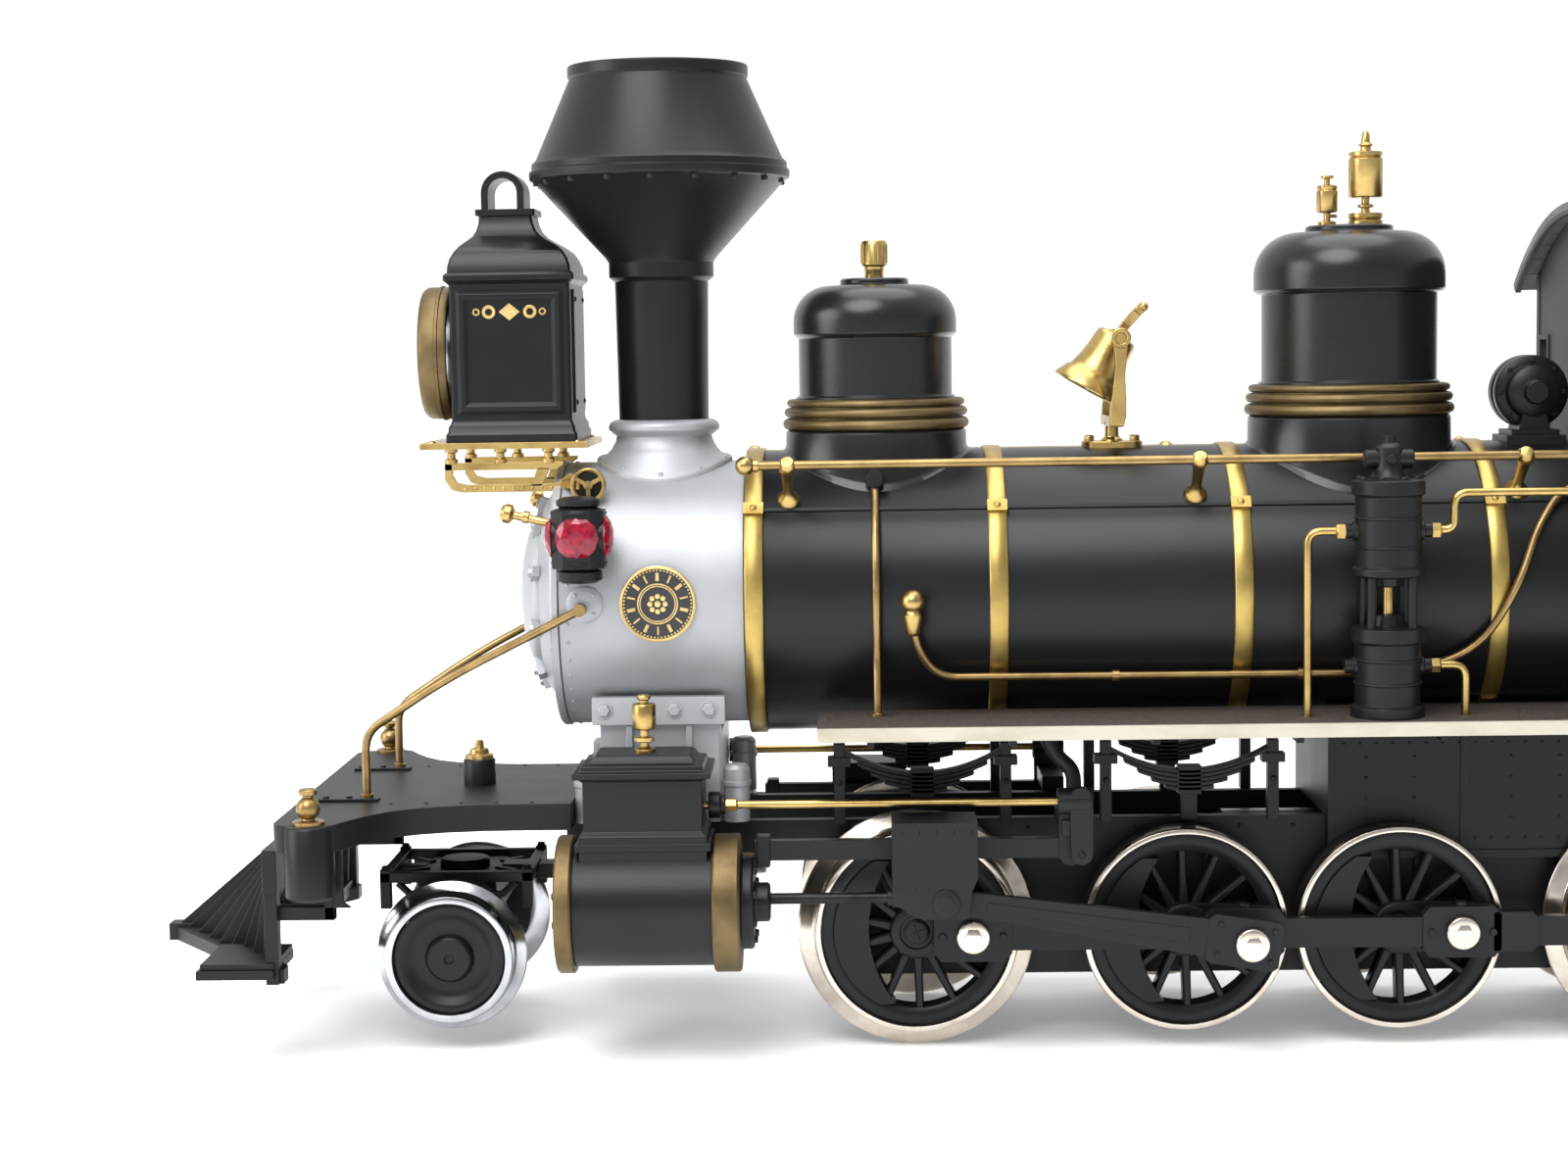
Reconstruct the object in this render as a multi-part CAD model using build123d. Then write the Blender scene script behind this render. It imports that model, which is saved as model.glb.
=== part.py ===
from build123d import *
import math
import os

# Model steam locomotive of the Consolidation type (one pilot axle, four driving axles), scale 1:24.
# Sizes are in millimetres. X runs from the pilot's nose (-X) to the drawbar (+X), +Z is up, and the
# fireman's side is -Y. The origin is under the middle of the locomotive, at the driving wheels' lowest point.

# Wheels and running gear
DRIVER_STEPS = (52.8, 41.9, 52.5)
FIRST_DRIVER_X = -29.25
DRIVER_FLANGE_R = 23.6
DRIVER_TREAD_R = 20.1
TYRE_FACE_R = 18.8
TYRE_BACK_Y = 20.0
TYRE_FACE_Y = 26.5
FLANGE_THICK = 1.8
AXLE_R = 3.0
FLANGED_DRIVERS = (0, 3)
MAIN_DRIVER = 1
SPOKES = 12
CRANK_R = 10.8
CRANK_ANGLE = 2.0
RUNNING_GAP = 0.06
WORM_WHEEL_R = 7.0
WORM_TEETH = 20
WORM_R = 3.0

# Rods: each plane is a range of distance from the middle of the locomotive
SIDE_ROD_Y = (29.6, 32.6)
MAIN_ROD_Y = (39.2, 41.6)
CROSSHEAD_PLATE_Y = (42.0, 44.2)
PIN_R = 2.2
PIN_HEAD_R = 3.3
MAIN_ROD_LENGTH = 59.0
WRIST_Z = 32.9
WRIST_EYE_R = 3.4

# Pilot truck
TRUCK_X = -122.0
TRUCK_PIVOT_X = -84.0
PILOT_AXLE_Z = 18.9
PILOT_FLANGE_R = 15.1
PILOT_TREAD_R = 12.9
PILOT_FACE_R = 10.9
PILOT_AXLE_R = 1.5

# Frame and front end
NOSE_X = -183.75
TAIL_X = 183.75
FRAME_Y = (14.0, 16.5)
FRAME_BOTTOM_Z = 13.0
FRAME_TOP_Z = 45.0
DECK_TOP_Z = 50.0
DECK_THICK = 2.0
DECK_SKIRT_Z = 44.5
DECK_FRONT_X = -152.0
DECK_REAR_X = -97.0
DECK_WIDE_Y = 48.0
DECK_NARROW_Y = 26.0
POCKET_X = -144.9
POCKET_Y = 46.2
POCKET_R = 4.8
STAY_FOOT_Y = 19.8
FLANGE_PROUD = 0.6
BEAM_Z = (34.0, 44.5)
PILOT_BASE_Z = (18.0, 21.0)
PILOT_CORNER_Y = 42.0

# Boiler
BOILER_Z = 89.3
BOILER_R = 28.5
BOILER_WALL = 2.0
SMOKEBOX_R = 26.7
SMOKEBOX_X = (-98.8, -62.2)
BAND_XS = (-60.3, -12.6, 34.8, 84.0)
BAND_WIDTH = 3.6
BAND_THICK = 0.6
STACK_X = -79.0
STACK_TOP_Z = 195.5
SAND_DOME_X = -35.85
SAND_FOOT_R = 18.3
STEAM_DOME_X = 59.85
RAIL_Y = 28.5
RAIL_Z = 116.0
RAIL_R = 0.9
STANCHION_XS = (-53.4, 26.2, 88.6)

# Headlight
LAMP_X = (-120.6, -96.2)
LAMP_HALF_Y = 15.0
LAMP_Z = (120.8, 154.0)
LAMP_WALL = 1.5
LAMP_RING_X = -110.3
BEZEL_R = 13.4
BEZEL_Z = 138.6

# Cylinders
CYLINDER_Y = 37.5
CYLINDER_Z = 32.3
CYLINDER_R = 12.0
CYLINDER_X = (-95.1, -68.4)
RING_R = 13.3
CHEST_X = (-93.8, -69.3)
CHEST_Y = (27.5, 45.0)
PISTON_ROD_R = 1.1
VALVE_ROD_Y = 35.7
VALVE_ROD_Z = 51.0
GUIDE_Y = (33.0, 35.6)
GUIDE_Z = (39.7, 44.0)
GUIDE_X = (-60.7, 1.0)
CROSSHEAD_TOP_Z = 48.4

# Running boards and cab
BOARD_Z = (64.3, 67.0)
BOARD_Y = (17.0, 46.0)
BOARD_FRONT_X = -48.1
CAB_X = (108.0, 178.0)
CAB_HALF_Y = 40.0
CAB_WALL = 1.5
ROOF_X = (104.0, 182.0)
ROOF_HALF_Y = 46.0
ROOF_R = 75.4
ROOF_APEX_Z = 165.7
ROOF_THICK = 1.8
FIREBOX_X = (52.5, 150.0)
FIREBOX_HALF_Y = 19.6
PUMP_X = 60.75
PUMP_Y = -36.5
BELL_PIVOT_X = 13.0
BELL_PIVOT_Z = 139.6
BELL_TILT = 30.0
DRAWBAR_PIVOT_X = 165.0
DRAWBAR_Z = 38.0
DRAWBAR_HOLE_R = 1.6

# Sizes worked out from the driving ones
DRIVER_XS = tuple(FIRST_DRIVER_X + sum(DRIVER_STEPS[:i]) for i in range(4))
AXLE_Z = DRIVER_FLANGE_R
MAIN_X = DRIVER_XS[MAIN_DRIVER]
BOILER_X = (SMOKEBOX_X[1], CAB_X[0])
WORM_Z = AXLE_Z + WORM_WHEEL_R + WORM_R + 0.3
ROOF_CENTRE_Z = ROOF_APEX_Z - ROOF_R

os.makedirs("parts", exist_ok=True)


def save(name, *shapes):
    """Writes one node: every solid of the given shapes stays a separate solid."""
    solids = [solid for shape in shapes for solid in shape.solids()]
    node = solids[0] if len(solids) == 1 else Compound(children=solids)
    export_step(node, f"parts/{name}.step")


def block(xs, ys, zs):
    size = (xs[1] - xs[0], ys[1] - ys[0], zs[1] - zs[0])
    return Pos((xs[0] + xs[1]) / 2, (ys[0] + ys[1]) / 2, (zs[0] + zs[1]) / 2) * Box(*size)


def rod_x(radius, xs, y, z):
    return Pos((xs[0] + xs[1]) / 2, y, z) * Rot(0, 90, 0) * Cylinder(radius, xs[1] - xs[0])


def rod_y(radius, ys, x, z):
    return Pos(x, (ys[0] + ys[1]) / 2, z) * Rot(90, 0, 0) * Cylinder(radius, ys[1] - ys[0])


def rod_z(radius, zs, x, y):
    return Pos(x, y, (zs[0] + zs[1]) / 2) * Cylinder(radius, zs[1] - zs[0])


def rod_between(start, end, radius):
    """A round rod from one point to another."""
    line = Vector(*end) - Vector(*start)
    plane = Plane(origin=Vector(*start), z_dir=line)
    return plane * Cylinder(radius, line.length, align=(Align.CENTER, Align.CENTER, Align.MIN))


def bar_between(start, end, width, depth):
    """A straight bar from one point to another, width across Y."""
    line = Vector(*end) - Vector(*start)
    plane = Plane(origin=Vector(*start), x_dir=(0, 1, 0), z_dir=line)
    return plane * Box(width, depth, line.length, align=(Align.CENTER, Align.CENTER, Align.MIN))


def turned(points):
    """A solid turned about the Z axis from (radius, height) points, listed around the profile."""
    return revolve(Plane.XZ * make_face(Polyline(*points, close=True)), Axis.Z)


def plate_xz(points, ys):
    """A plate cut to an outline in X and Z, between two distances in Y."""
    outline = make_face(Polyline(*[(x, z) for x, z in points], close=True))
    return Pos(0, ys[1], 0) * extrude(Plane.XZ * outline, ys[1] - ys[0])


def plate_xy(points, zs):
    outline = make_face(Polyline(*points, close=True))
    return Pos(0, 0, zs[0]) * extrude(outline, zs[1] - zs[0])


def pipe(points, radius, bend):
    """A round pipe along straight runs joined by arcs."""
    path = FilletPolyline(*points, radius=bend)
    return sweep(Plane(origin=path @ 0, z_dir=path % 0) * Circle(radius), path=path)


def ball(radius, x, y, z):
    return Pos(x, y, z) * Sphere(radius)


def both_sides(shape):
    return [shape, mirror(shape, about=Plane.XZ)]


def boiler_core(radius=BOILER_R):
    """The space inside a drum about the boiler's axis, over the locomotive's whole length."""
    return rod_x(radius, (NOSE_X, TAIL_X), 0, BOILER_Z)


# ---- wheels -------------------------------------------------------------------------------------


def crank_pin(index, side):
    """X and Z of a driver's crank pin. The right-hand cranks stand a quarter turn from the left."""
    angle = math.radians(CRANK_ANGLE if side < 0 else CRANK_ANGLE + 90)
    return DRIVER_XS[index] + CRANK_R * math.cos(angle), AXLE_Z + CRANK_R * math.sin(angle)


def driver_tyre(index):
    """One tyre about its own Z axis, back face at zero."""
    width = TYRE_FACE_Y - TYRE_BACK_Y
    flange = DRIVER_FLANGE_R if index in FLANGED_DRIVERS else DRIVER_TREAD_R
    outline = [
        (TYRE_FACE_R, 0),
        (flange - 0.5, 0),
        (flange, 0.5),
        (flange, FLANGE_THICK - 0.5),
        (DRIVER_TREAD_R, FLANGE_THICK + 0.4),
        (DRIVER_TREAD_R, width),
        (TYRE_FACE_R, width),
    ]
    if index not in FLANGED_DRIVERS:
        outline = [(TYRE_FACE_R, 0), (flange, 0), (flange, width), (TYRE_FACE_R, width)]
    return turned(outline)


def driver_centre(side):
    """A spoked centre with rim, hub, crank boss and counterweight, crank towards +X, back at zero."""
    rim = Cylinder(TYRE_FACE_R, 5.6, align=(Align.CENTER, Align.CENTER, Align.MIN))
    rim -= Cylinder(15.6, 20)
    hub = Cylinder(5.2, 7.2, align=(Align.CENTER, Align.CENTER, Align.MIN))
    boss = Pos(CRANK_R, 0, 0) * Cylinder(4.6, 9.2, align=(Align.CENTER, Align.CENTER, Align.MIN))
    web = Pos(CRANK_R / 2, 0, 0) * Box(CRANK_R, 6.4, 6.4, align=(Align.CENTER, Align.CENTER, Align.MIN))
    weight = Cylinder(15.8, 5.2, align=(Align.CENTER, Align.CENTER, Align.MIN))
    weight -= Pos(9, 0, 0) * Cylinder(18.5, 20)
    centre = rim + hub + boss + web + weight
    for spoke in range(SPOKES):
        angle = 360 / SPOKES * (spoke + 0.5)
        arm = Pos(10, 0, 0.6) * Box(12.4, 1.5, 4.2, align=(Align.CENTER, Align.CENTER, Align.MIN))
        centre += Rot(0, 0, angle) * arm
    centre -= Cylinder(AXLE_R, 40)
    centre -= Pos(CRANK_R, 0, 0) * Cylinder(PIN_R, 40)
    return centre


def wheel_place(x, z, side, turn):
    """Puts a wheel built about Z with its back at zero onto an axle, its face outwards."""
    lean = 90 if side < 0 else -90
    spin = turn if side < 0 else -turn
    return Pos(x, side * TYRE_BACK_Y, z) * Rot(lean, 0, 0) * Rot(0, 0, spin)


def side_angle(side):
    return CRANK_ANGLE if side < 0 else CRANK_ANGLE + 90


def driver(index):
    """Axle with its two spoked centres, four crank pins' worth of metalwork and hub screws."""
    x = DRIVER_XS[index]
    axle = rod_y(AXLE_R, (-TYRE_FACE_Y - 0.4, TYRE_FACE_Y + 0.4), x, AXLE_Z)
    pieces = [axle]
    for side in (-1, 1):
        pieces.append(wheel_place(x, AXLE_Z, side, side_angle(side)) * driver_centre(side))
        pieces.append(crank_pin_screw(index, side))
    return pieces


def crank_pin_screw(index, side):
    """The pin that carries the rods, with its head. The main driver's pin reaches out to the main rod."""
    x, z = crank_pin(index, side)
    reach = MAIN_ROD_Y[1] + 0.2 if index == MAIN_DRIVER else SIDE_ROD_Y[1] + 0.2
    pin = rod_y(PIN_R, (21.0, reach + 1.4), x, z)
    pin += rod_y(PIN_HEAD_R, (reach, reach + 1.4), x, z)
    if index == MAIN_DRIVER:
        pin += rod_y(PIN_HEAD_R, (SIDE_ROD_Y[1] + 0.2, MAIN_ROD_Y[0] - 0.2), x, z)
    return pin if side > 0 else mirror(pin, about=Plane.XZ)


def driver_tyres(index):
    return [wheel_place(DRIVER_XS[index], AXLE_Z, side, 0) * driver_tyre(index) for side in (-1, 1)]


def worm_wheel():
    """Toothed wheel pressed on the main axle, driven by the motor's worm."""
    wheel = Cylinder(WORM_WHEEL_R, 5)
    for tooth in range(WORM_TEETH):
        gap = Pos(WORM_WHEEL_R, 0, 0) * Box(1.6, 0.9, 6)
        wheel -= Rot(0, 0, 360 / WORM_TEETH * tooth) * gap
    wheel -= Cylinder(AXLE_R, 8)
    return Pos(MAIN_X, 0, AXLE_Z) * Rot(90, 0, 0) * wheel


def motor_shaft():
    """Motor shaft with its worm. The worm's thread is shown as ridges."""
    worm_length = 12.0
    points = [(0, -worm_length / 2)]
    for ridge in range(8):
        start = -worm_length / 2 + ridge * worm_length / 8
        points += [(WORM_R - 0.8, start), (WORM_R, start + 0.4), (WORM_R - 0.8, start + 0.9)]
    points += [(WORM_R - 0.8, worm_length / 2), (0, worm_length / 2)]
    worm = Pos(MAIN_X, 0, WORM_Z) * Rot(0, 90, 0) * turned(points)
    shaft = rod_x(1.0, (MAIN_X - 9.5, MAIN_X + 16), 0, WORM_Z)
    return worm + shaft


def gearbox_housing():
    """Box around the worm and its wheel, open where the axle and the shaft pass."""
    outer = block((MAIN_X - 9, MAIN_X + 9), (-9, 9), (15.2, 38.6))
    inner = block((MAIN_X - 7.8, MAIN_X + 7.8), (-6.5, 6.5), (16.2, 37.4))
    housing = outer - inner
    housing -= rod_y(AXLE_R + RUNNING_GAP, (-20, 20), MAIN_X, AXLE_Z)
    housing -= rod_x(1.0 + RUNNING_GAP, (MAIN_X - 20, MAIN_X + 20), 0, WORM_Z)
    return housing


def motor():
    """Can motor behind the gearbox, with its end bearing bored for the shaft."""
    body = rod_x(9.0, (MAIN_X + 10.5, MAIN_X + 37), 0, WORM_Z)
    body += rod_x(3.0, (MAIN_X + 9.0, MAIN_X + 10.5), 0, WORM_Z)
    body -= rod_x(1.0 + RUNNING_GAP, (MAIN_X, MAIN_X + 16.5), 0, WORM_Z)
    return body


# ---- rods ---------------------------------------------------------------------------------------


def side_rod(side):
    """Coupling rod over all four crank pins, with a block and an oil cup at each pin."""
    ends = [crank_pin(index, side) for index in range(4)]
    z = ends[0][1]
    ys = SIDE_ROD_Y if side > 0 else (-SIDE_ROD_Y[1], -SIDE_ROD_Y[0])
    rod = block((ends[0][0], ends[3][0]), ys, (z - 2.9, z + 2.9))
    for x, _ in ends:
        rod += block((x - 7.6, x + 7.6), ys, (z - 5.0, z + 5.0))
        rod += rod_z(1.2, (z + 5.0, z + 6.0), x, (ys[0] + ys[1]) / 2)
    for x, _ in ends:
        rod -= rod_y(PIN_R + RUNNING_GAP, (ys[0] - 1, ys[1] + 1), x, z)
    return rod


def wrist_x(side):
    """X of the crosshead's wrist pin, from the crank pin and the main rod's length."""
    pin_x, pin_z = crank_pin(MAIN_DRIVER, side)
    return pin_x - math.sqrt(MAIN_ROD_LENGTH**2 - (pin_z - WRIST_Z) ** 2)


def main_rod(side):
    """Tapered connecting rod from the wrist pin to the main driver's crank pin."""
    pin_x, pin_z = crank_pin(MAIN_DRIVER, side)
    lean = math.degrees(math.asin((pin_z - WRIST_Z) / MAIN_ROD_LENGTH))
    thick = MAIN_ROD_Y[1] - MAIN_ROD_Y[0]
    reach = MAIN_ROD_LENGTH
    upper = [(-reach, 2.1), (-6, 3.7), (-6, 4.8), (5.6, 4.8)]
    outline = upper + [(x, -z) for x, z in reversed(upper)]
    rod = extrude(make_face(Polyline(*outline, close=True)), thick)
    rod += Pos(-reach, 0, thick / 2) * Cylinder(WRIST_EYE_R, thick)
    rod -= Pos(-reach, 0, 0) * Cylinder(1.8, 20)
    rod -= Cylinder(PIN_R + RUNNING_GAP, 20)
    outer = -MAIN_ROD_Y[0] if side < 0 else MAIN_ROD_Y[1]
    return Pos(pin_x, outer, pin_z) * Rot(0, -lean, 0) * Rot(90, 0, 0) * rod


def crosshead(side):
    """Crosshead on its guide bar, with the piston rod fixed in it and a short stub for the wrist pin."""
    x = wrist_x(side)
    front = x - 10.2
    plate = plate_xz(
        [
            (front, CROSSHEAD_TOP_Z),
            (x + 6.1, CROSSHEAD_TOP_Z),
            (x + 6.1, 37.5),
            (x + 3.4, 29.8),
            (front + 6, 29.8),
            (front, 33.0),
        ],
        CROSSHEAD_PLATE_Y,
    )
    bridge = block((front, x + 6.1), (31.4, CROSSHEAD_PLATE_Y[0]), (47.0, CROSSHEAD_TOP_Z))
    inner = block((front, x - 1.5), (35.75, 38.8), (31.2, 47.0))
    shoe = block((front, x - 1.5), (33.2, 35.75), (37.95, GUIDE_Z[0] - 0.08))
    stub = rod_y(2.4, (MAIN_ROD_Y[1] + 0.15, CROSSHEAD_PLATE_Y[0]), x, WRIST_Z)
    screw = rod_y(1.9, (CROSSHEAD_PLATE_Y[1], CROSSHEAD_PLATE_Y[1] + 0.5), x, WRIST_Z)
    rod = rod_x(PISTON_ROD_R, (wrist_x(-1) - 38.0, front + 0.5), CYLINDER_Y, WRIST_Z)
    if side > 0:
        rod = rod_x(PISTON_ROD_R, (x - 38.0, front + 0.5), CYLINDER_Y, WRIST_Z)
    head = plate + bridge + inner + shoe + stub + screw + rod
    return head if side > 0 else mirror(head, about=Plane.XZ)


# ---- pilot truck --------------------------------------------------------------------------------


def truck_frame():
    """Swivelling truck: bolster with a round pad, cheeks that hold the axle, rear arm with an eye."""
    front = TRUCK_X - 15.5
    rear = TRUCK_X + 15.5
    frame = block((TRUCK_X - 8, TRUCK_X + 8), (-12.4, 12.4), (24.5, 33.0))
    frame += rod_z(5.1, (33.0, 34.6), TRUCK_X, 0)
    for y in (-13.6, 11.4):
        frame += block((front, rear), (y, y + 2.2), (31.8, 34.0))
        frame += block((TRUCK_X - 4.5, TRUCK_X + 4.5), (y, y + 2.2), (14.0, 31.8))
        for x in (front, rear - 2.2):
            frame += block((x, x + 2.2), (y, y + 2.2), (26.5, 31.8))
    for x in (front, rear - 2.2):
        frame += block((x, x + 2.2), (-11.4, 11.4), (32.0, 34.0))
    frame += block((front, TRUCK_X - 8), (-1.6, 1.6), (30.5, 33.0))
    frame += block((TRUCK_X + 8, TRUCK_PIVOT_X), (-3.0, 3.0), (30.5, 33.5))
    frame += rod_z(4.2, (30.5, 33.5), TRUCK_PIVOT_X, 0)
    frame -= rod_y(PILOT_AXLE_R + RUNNING_GAP, (-20, 20), TRUCK_X, PILOT_AXLE_Z)
    frame -= rod_z(1.5 + RUNNING_GAP, (20.0, 40.0), TRUCK_PIVOT_X, 0)
    return frame


def pilot_wheels():
    """Pilot axle with two plate centres and their flanged tyres."""
    width = TYRE_FACE_Y - TYRE_BACK_Y
    tyre = turned(
        [
            (PILOT_FACE_R, 0),
            (PILOT_FLANGE_R - 0.4, 0),
            (PILOT_FLANGE_R, 0.5),
            (PILOT_FLANGE_R, 1.2),
            (PILOT_TREAD_R + 0.3, 2.2),
            (PILOT_TREAD_R - 0.3, width),
            (PILOT_FACE_R, width),
        ]
    )
    centre = turned(
        [
            (PILOT_AXLE_R, 0),
            (PILOT_FACE_R, 0),
            (PILOT_FACE_R, 5.6),
            (8.6, 5.6),
            (7.4, 4.4),
            (5.0, 4.4),
            (4.0, 6.2),
            (PILOT_AXLE_R, 6.2),
        ]
    )
    pieces = [rod_y(PILOT_AXLE_R, (-TYRE_FACE_Y + 0.2, TYRE_FACE_Y - 0.2), TRUCK_X, PILOT_AXLE_Z)]
    for side in (-1, 1):
        place = wheel_place(TRUCK_X, PILOT_AXLE_Z, side, 0)
        pieces += [place * tyre, place * centre]
    return pieces


# ---- frame and front end ------------------------------------------------------------------------


def frame():
    """Two side plates bored for the axles, a cover under them, cross pieces and the rear end beam."""
    outline = [
        (DECK_REAR_X - 2, 44.5),
        (DECK_REAR_X - 2, 38.0),
        (-46.0, 38.0),
        (-42.0, FRAME_BOTTOM_Z),
        (146.0, FRAME_BOTTOM_Z),
        (152.0, 32.0),
        (CAB_X[1] - 4, 32.0),
        (CAB_X[1] - 4, 44.5),
    ]
    plates = [plate_xz(outline, FRAME_Y), plate_xz(outline, (-FRAME_Y[1], -FRAME_Y[0]))]
    for x in DRIVER_XS:
        hole = rod_y(AXLE_R + RUNNING_GAP, (-30, 30), x, AXLE_Z)
        plates = [plate - hole for plate in plates]
    cover = block((-41.0, 146.0), (-FRAME_Y[0], FRAME_Y[0]), (FRAME_BOTTOM_Z, FRAME_BOTTOM_Z + 1.6))
    tail = block((CAB_X[1] - 4, CAB_X[1]), (-30, 30), (32.0, 50.0))
    pivot_bar = block((DRAWBAR_PIVOT_X - 6, CAB_X[1] - 4), (-FRAME_Y[0], FRAME_Y[0]), (40.2, 43.5))
    pivot_bar += rod_z(1.8, (34.4, 40.2), DRAWBAR_PIVOT_X, 0) + rod_z(3.0, (34.0, 34.8), DRAWBAR_PIVOT_X, 0)
    tail -= block((CAB_X[1] - 8, CAB_X[1] + 2), (-9, 9), (31.0, 40.2))
    truck_bar = block((TRUCK_PIVOT_X - 4, TRUCK_PIVOT_X + 4), (-FRAME_Y[0], FRAME_Y[0]), (38.2, 44.3))
    truck_bar += rod_z(3.0, (33.9, 38.2), TRUCK_PIVOT_X, 0) + rod_z(1.5, (29.0, 33.9), TRUCK_PIVOT_X, 0)
    truck_bar += rod_z(3.0, (29.0, 30.1), TRUCK_PIVOT_X, 0)
    return [*plates, cover, tail, pivot_bar, truck_bar]


def pilot_deck():
    """Deck plate with skirts, post pockets, stay foot plates and the centre post."""
    half = [
        (DECK_FRONT_X, DECK_WIDE_Y - 3),
        (DECK_FRONT_X + 3, DECK_WIDE_Y),
        (-140.5, DECK_WIDE_Y),
        (-137.5, 42.0),
        (-134.0, 35.5),
        (-129.0, 30.5),
        (-122.0, 27.4),
        (-113.0, DECK_NARROW_Y),
        (DECK_REAR_X, DECK_NARROW_Y),
    ]
    outline = half + [(x, -y) for x, y in reversed(half)]
    deck = plate_xy(outline, (DECK_SKIRT_Z, DECK_TOP_Z))
    inner = [(max(min(x, DECK_REAR_X - 1.5), DECK_FRONT_X + 1.5), y - 1.8) for x, y in half]
    inner = inner + [(x, -y) for x, y in reversed(inner)]
    deck -= plate_xy(inner, (DECK_SKIRT_Z - 1, DECK_TOP_Z - DECK_THICK))
    for side in (-1, 1):
        deck += rod_z(POCKET_R, (35.5, DECK_TOP_Z - 1.0), POCKET_X, side * POCKET_Y)
        foot = (side * STAY_FOOT_Y - 0.7, side * STAY_FOOT_Y + 0.7)
        deck += block((-148.0, -136.0), foot, (DECK_TOP_Z, DECK_TOP_Z + 1.0))
    deck -= block((-142.0, -135.0), (-60, -42), (DECK_SKIRT_Z - 2, DECK_TOP_Z - DECK_THICK))
    deck += rod_z(3.3, (DECK_TOP_Z, 55.3), -118.5, 0)
    return deck


def centre_cap():
    """Brass cap nut on the deck's centre post."""
    cap = rod_z(2.9, (55.3, 56.2), -118.5, 0) + rod_z(2.0, (56.2, 57.4), -118.5, 0)
    return cap + rod_z(1.0, (57.4, 59.0), -118.5, 0)


def cowcatcher():
    """Beam, corner posts, V-shaped base bar with fanned slats, steps and rear braces."""
    base_mid = (PILOT_BASE_Z[0] + PILOT_BASE_Z[1]) / 2
    back_x = DECK_FRONT_X - 1.4
    guard = block((back_x - 1.4, DECK_FRONT_X), (-44, 44), BEAM_Z)
    toe = [
        (NOSE_X, 0.0),
        (back_x, PILOT_CORNER_Y),
        (back_x + 2.4, PILOT_CORNER_Y),
        (back_x + 2.4, PILOT_CORNER_Y - 5),
        (NOSE_X + 7, 0.0),
    ]
    outline = toe + [(x, -y) for x, y in reversed(toe[1:-1])]
    guard += plate_xy(outline, PILOT_BASE_Z)
    slats = 15
    for slat in range(slats):
        share = 2 * slat / (slats - 1) - 1
        foot_y = share * (PILOT_CORNER_Y - 4)
        foot_x = NOSE_X + 4.5 + abs(share) * (back_x - NOSE_X - 5)
        guard += bar_between((foot_x, foot_y, base_mid), (back_x, share * 40, BEAM_Z[1] - 2.4), 1.3, 2.2)
    for side in (-1, 1):
        ys = sorted((side * 39.6, side * 43.0))
        guard += block((back_x - 1.4, back_x + 1.2), ys, (PILOT_BASE_Z[0], BEAM_Z[1]))
        ys = sorted((side * 25.0, side * 44.5))
        guard += block((-168.0, back_x), ys, (PILOT_BASE_Z[1], PILOT_BASE_Z[1] + 1.6))
        ys = sorted((side * 38.2, side * 40.8))
        guard += block((back_x, -141.5), ys, (30.0, 33.0))
        guard += block((-143.5, -141.5), ys, (30.0, 44.5))
    return guard


def pole_posts():
    """Turned ball posts on the deck's corners, and the cap on the centre post."""
    post = turned(
        [(0, 0), (3.1, 0), (3.1, 0.8), (1.2, 1.2), (1.2, 5.6), (1.8, 6.0), (1.8, 7.0), (0, 7.0)]
    ) + Pos(0, 0, 3.3) * Sphere(2.3)
    posts = [Pos(POCKET_X, side * POCKET_Y, DECK_TOP_Z) * post for side in (-1, 1)]
    return [*posts, centre_cap()]


def deck_stays():
    """Brass stays from the smokebox sides to the pilot deck."""
    stays = []
    for side in (-1, 1):
        points = [
            (-138.4, side * STAY_FOOT_Y, DECK_TOP_Z + 1.0),
            (-138.4, side * STAY_FOOT_Y, 63.5),
            (-122.0, side * 23.9, 74.0),
            (-94.2, side * 29.0, 88.4),
        ]
        flange_y = SMOKEBOX_R + FLANGE_PROUD
        stay = pipe(points, 0.85, 5.0)
        stay += rod_y(1.3, sorted((side * flange_y, side * 30.0)), -94.2, 88.4)
        stays.append(stay)
    return stays


# ---- cylinders ----------------------------------------------------------------------------------


def saddle():
    """Saddle under the smokebox with side bolts and steam pipe stubs."""
    body = block((-92.0, -67.2), (-22.0, 22.0), (45.0, 71.0))
    body += block((-92.9, -66.4), (-23.2, 23.2), (69.6, 71.0))
    for side in (-1, 1):
        for bolt in range(4):
            ys = sorted((side * 22.0, side * 23.0))
            body += rod_y(1.25, ys, -90.2 + bolt * 6.9, 67.6)
        for x in (-94.2, -64.6):
            body += rod_z(2.7, (45.0, 56.5), x, side * 19.0)
            body += block(sorted((x, -79.6)), sorted((side * 16.4, side * 21.6)), (45.0, 48.0))
    return body - boiler_core(SMOKEBOX_R)


def cylinder(side):
    """Cylinder block with end covers and gland, bored for the piston rod."""
    y = side * CYLINDER_Y
    body = rod_x(CYLINDER_R, CYLINDER_X, y, CYLINDER_Z)
    body += rod_x(10.4, (CYLINDER_X[0] - 3.6, CYLINDER_X[1] + 5.4), y, CYLINDER_Z)
    body += rod_x(9.0, (-63.1, -60.7), y, CYLINDER_Z) + rod_x(3.8, (-60.7, -57.6), y, WRIST_Z)
    body -= rod_x(PISTON_ROD_R + RUNNING_GAP, (-94.0, -50.0), y, WRIST_Z)
    return body


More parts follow.
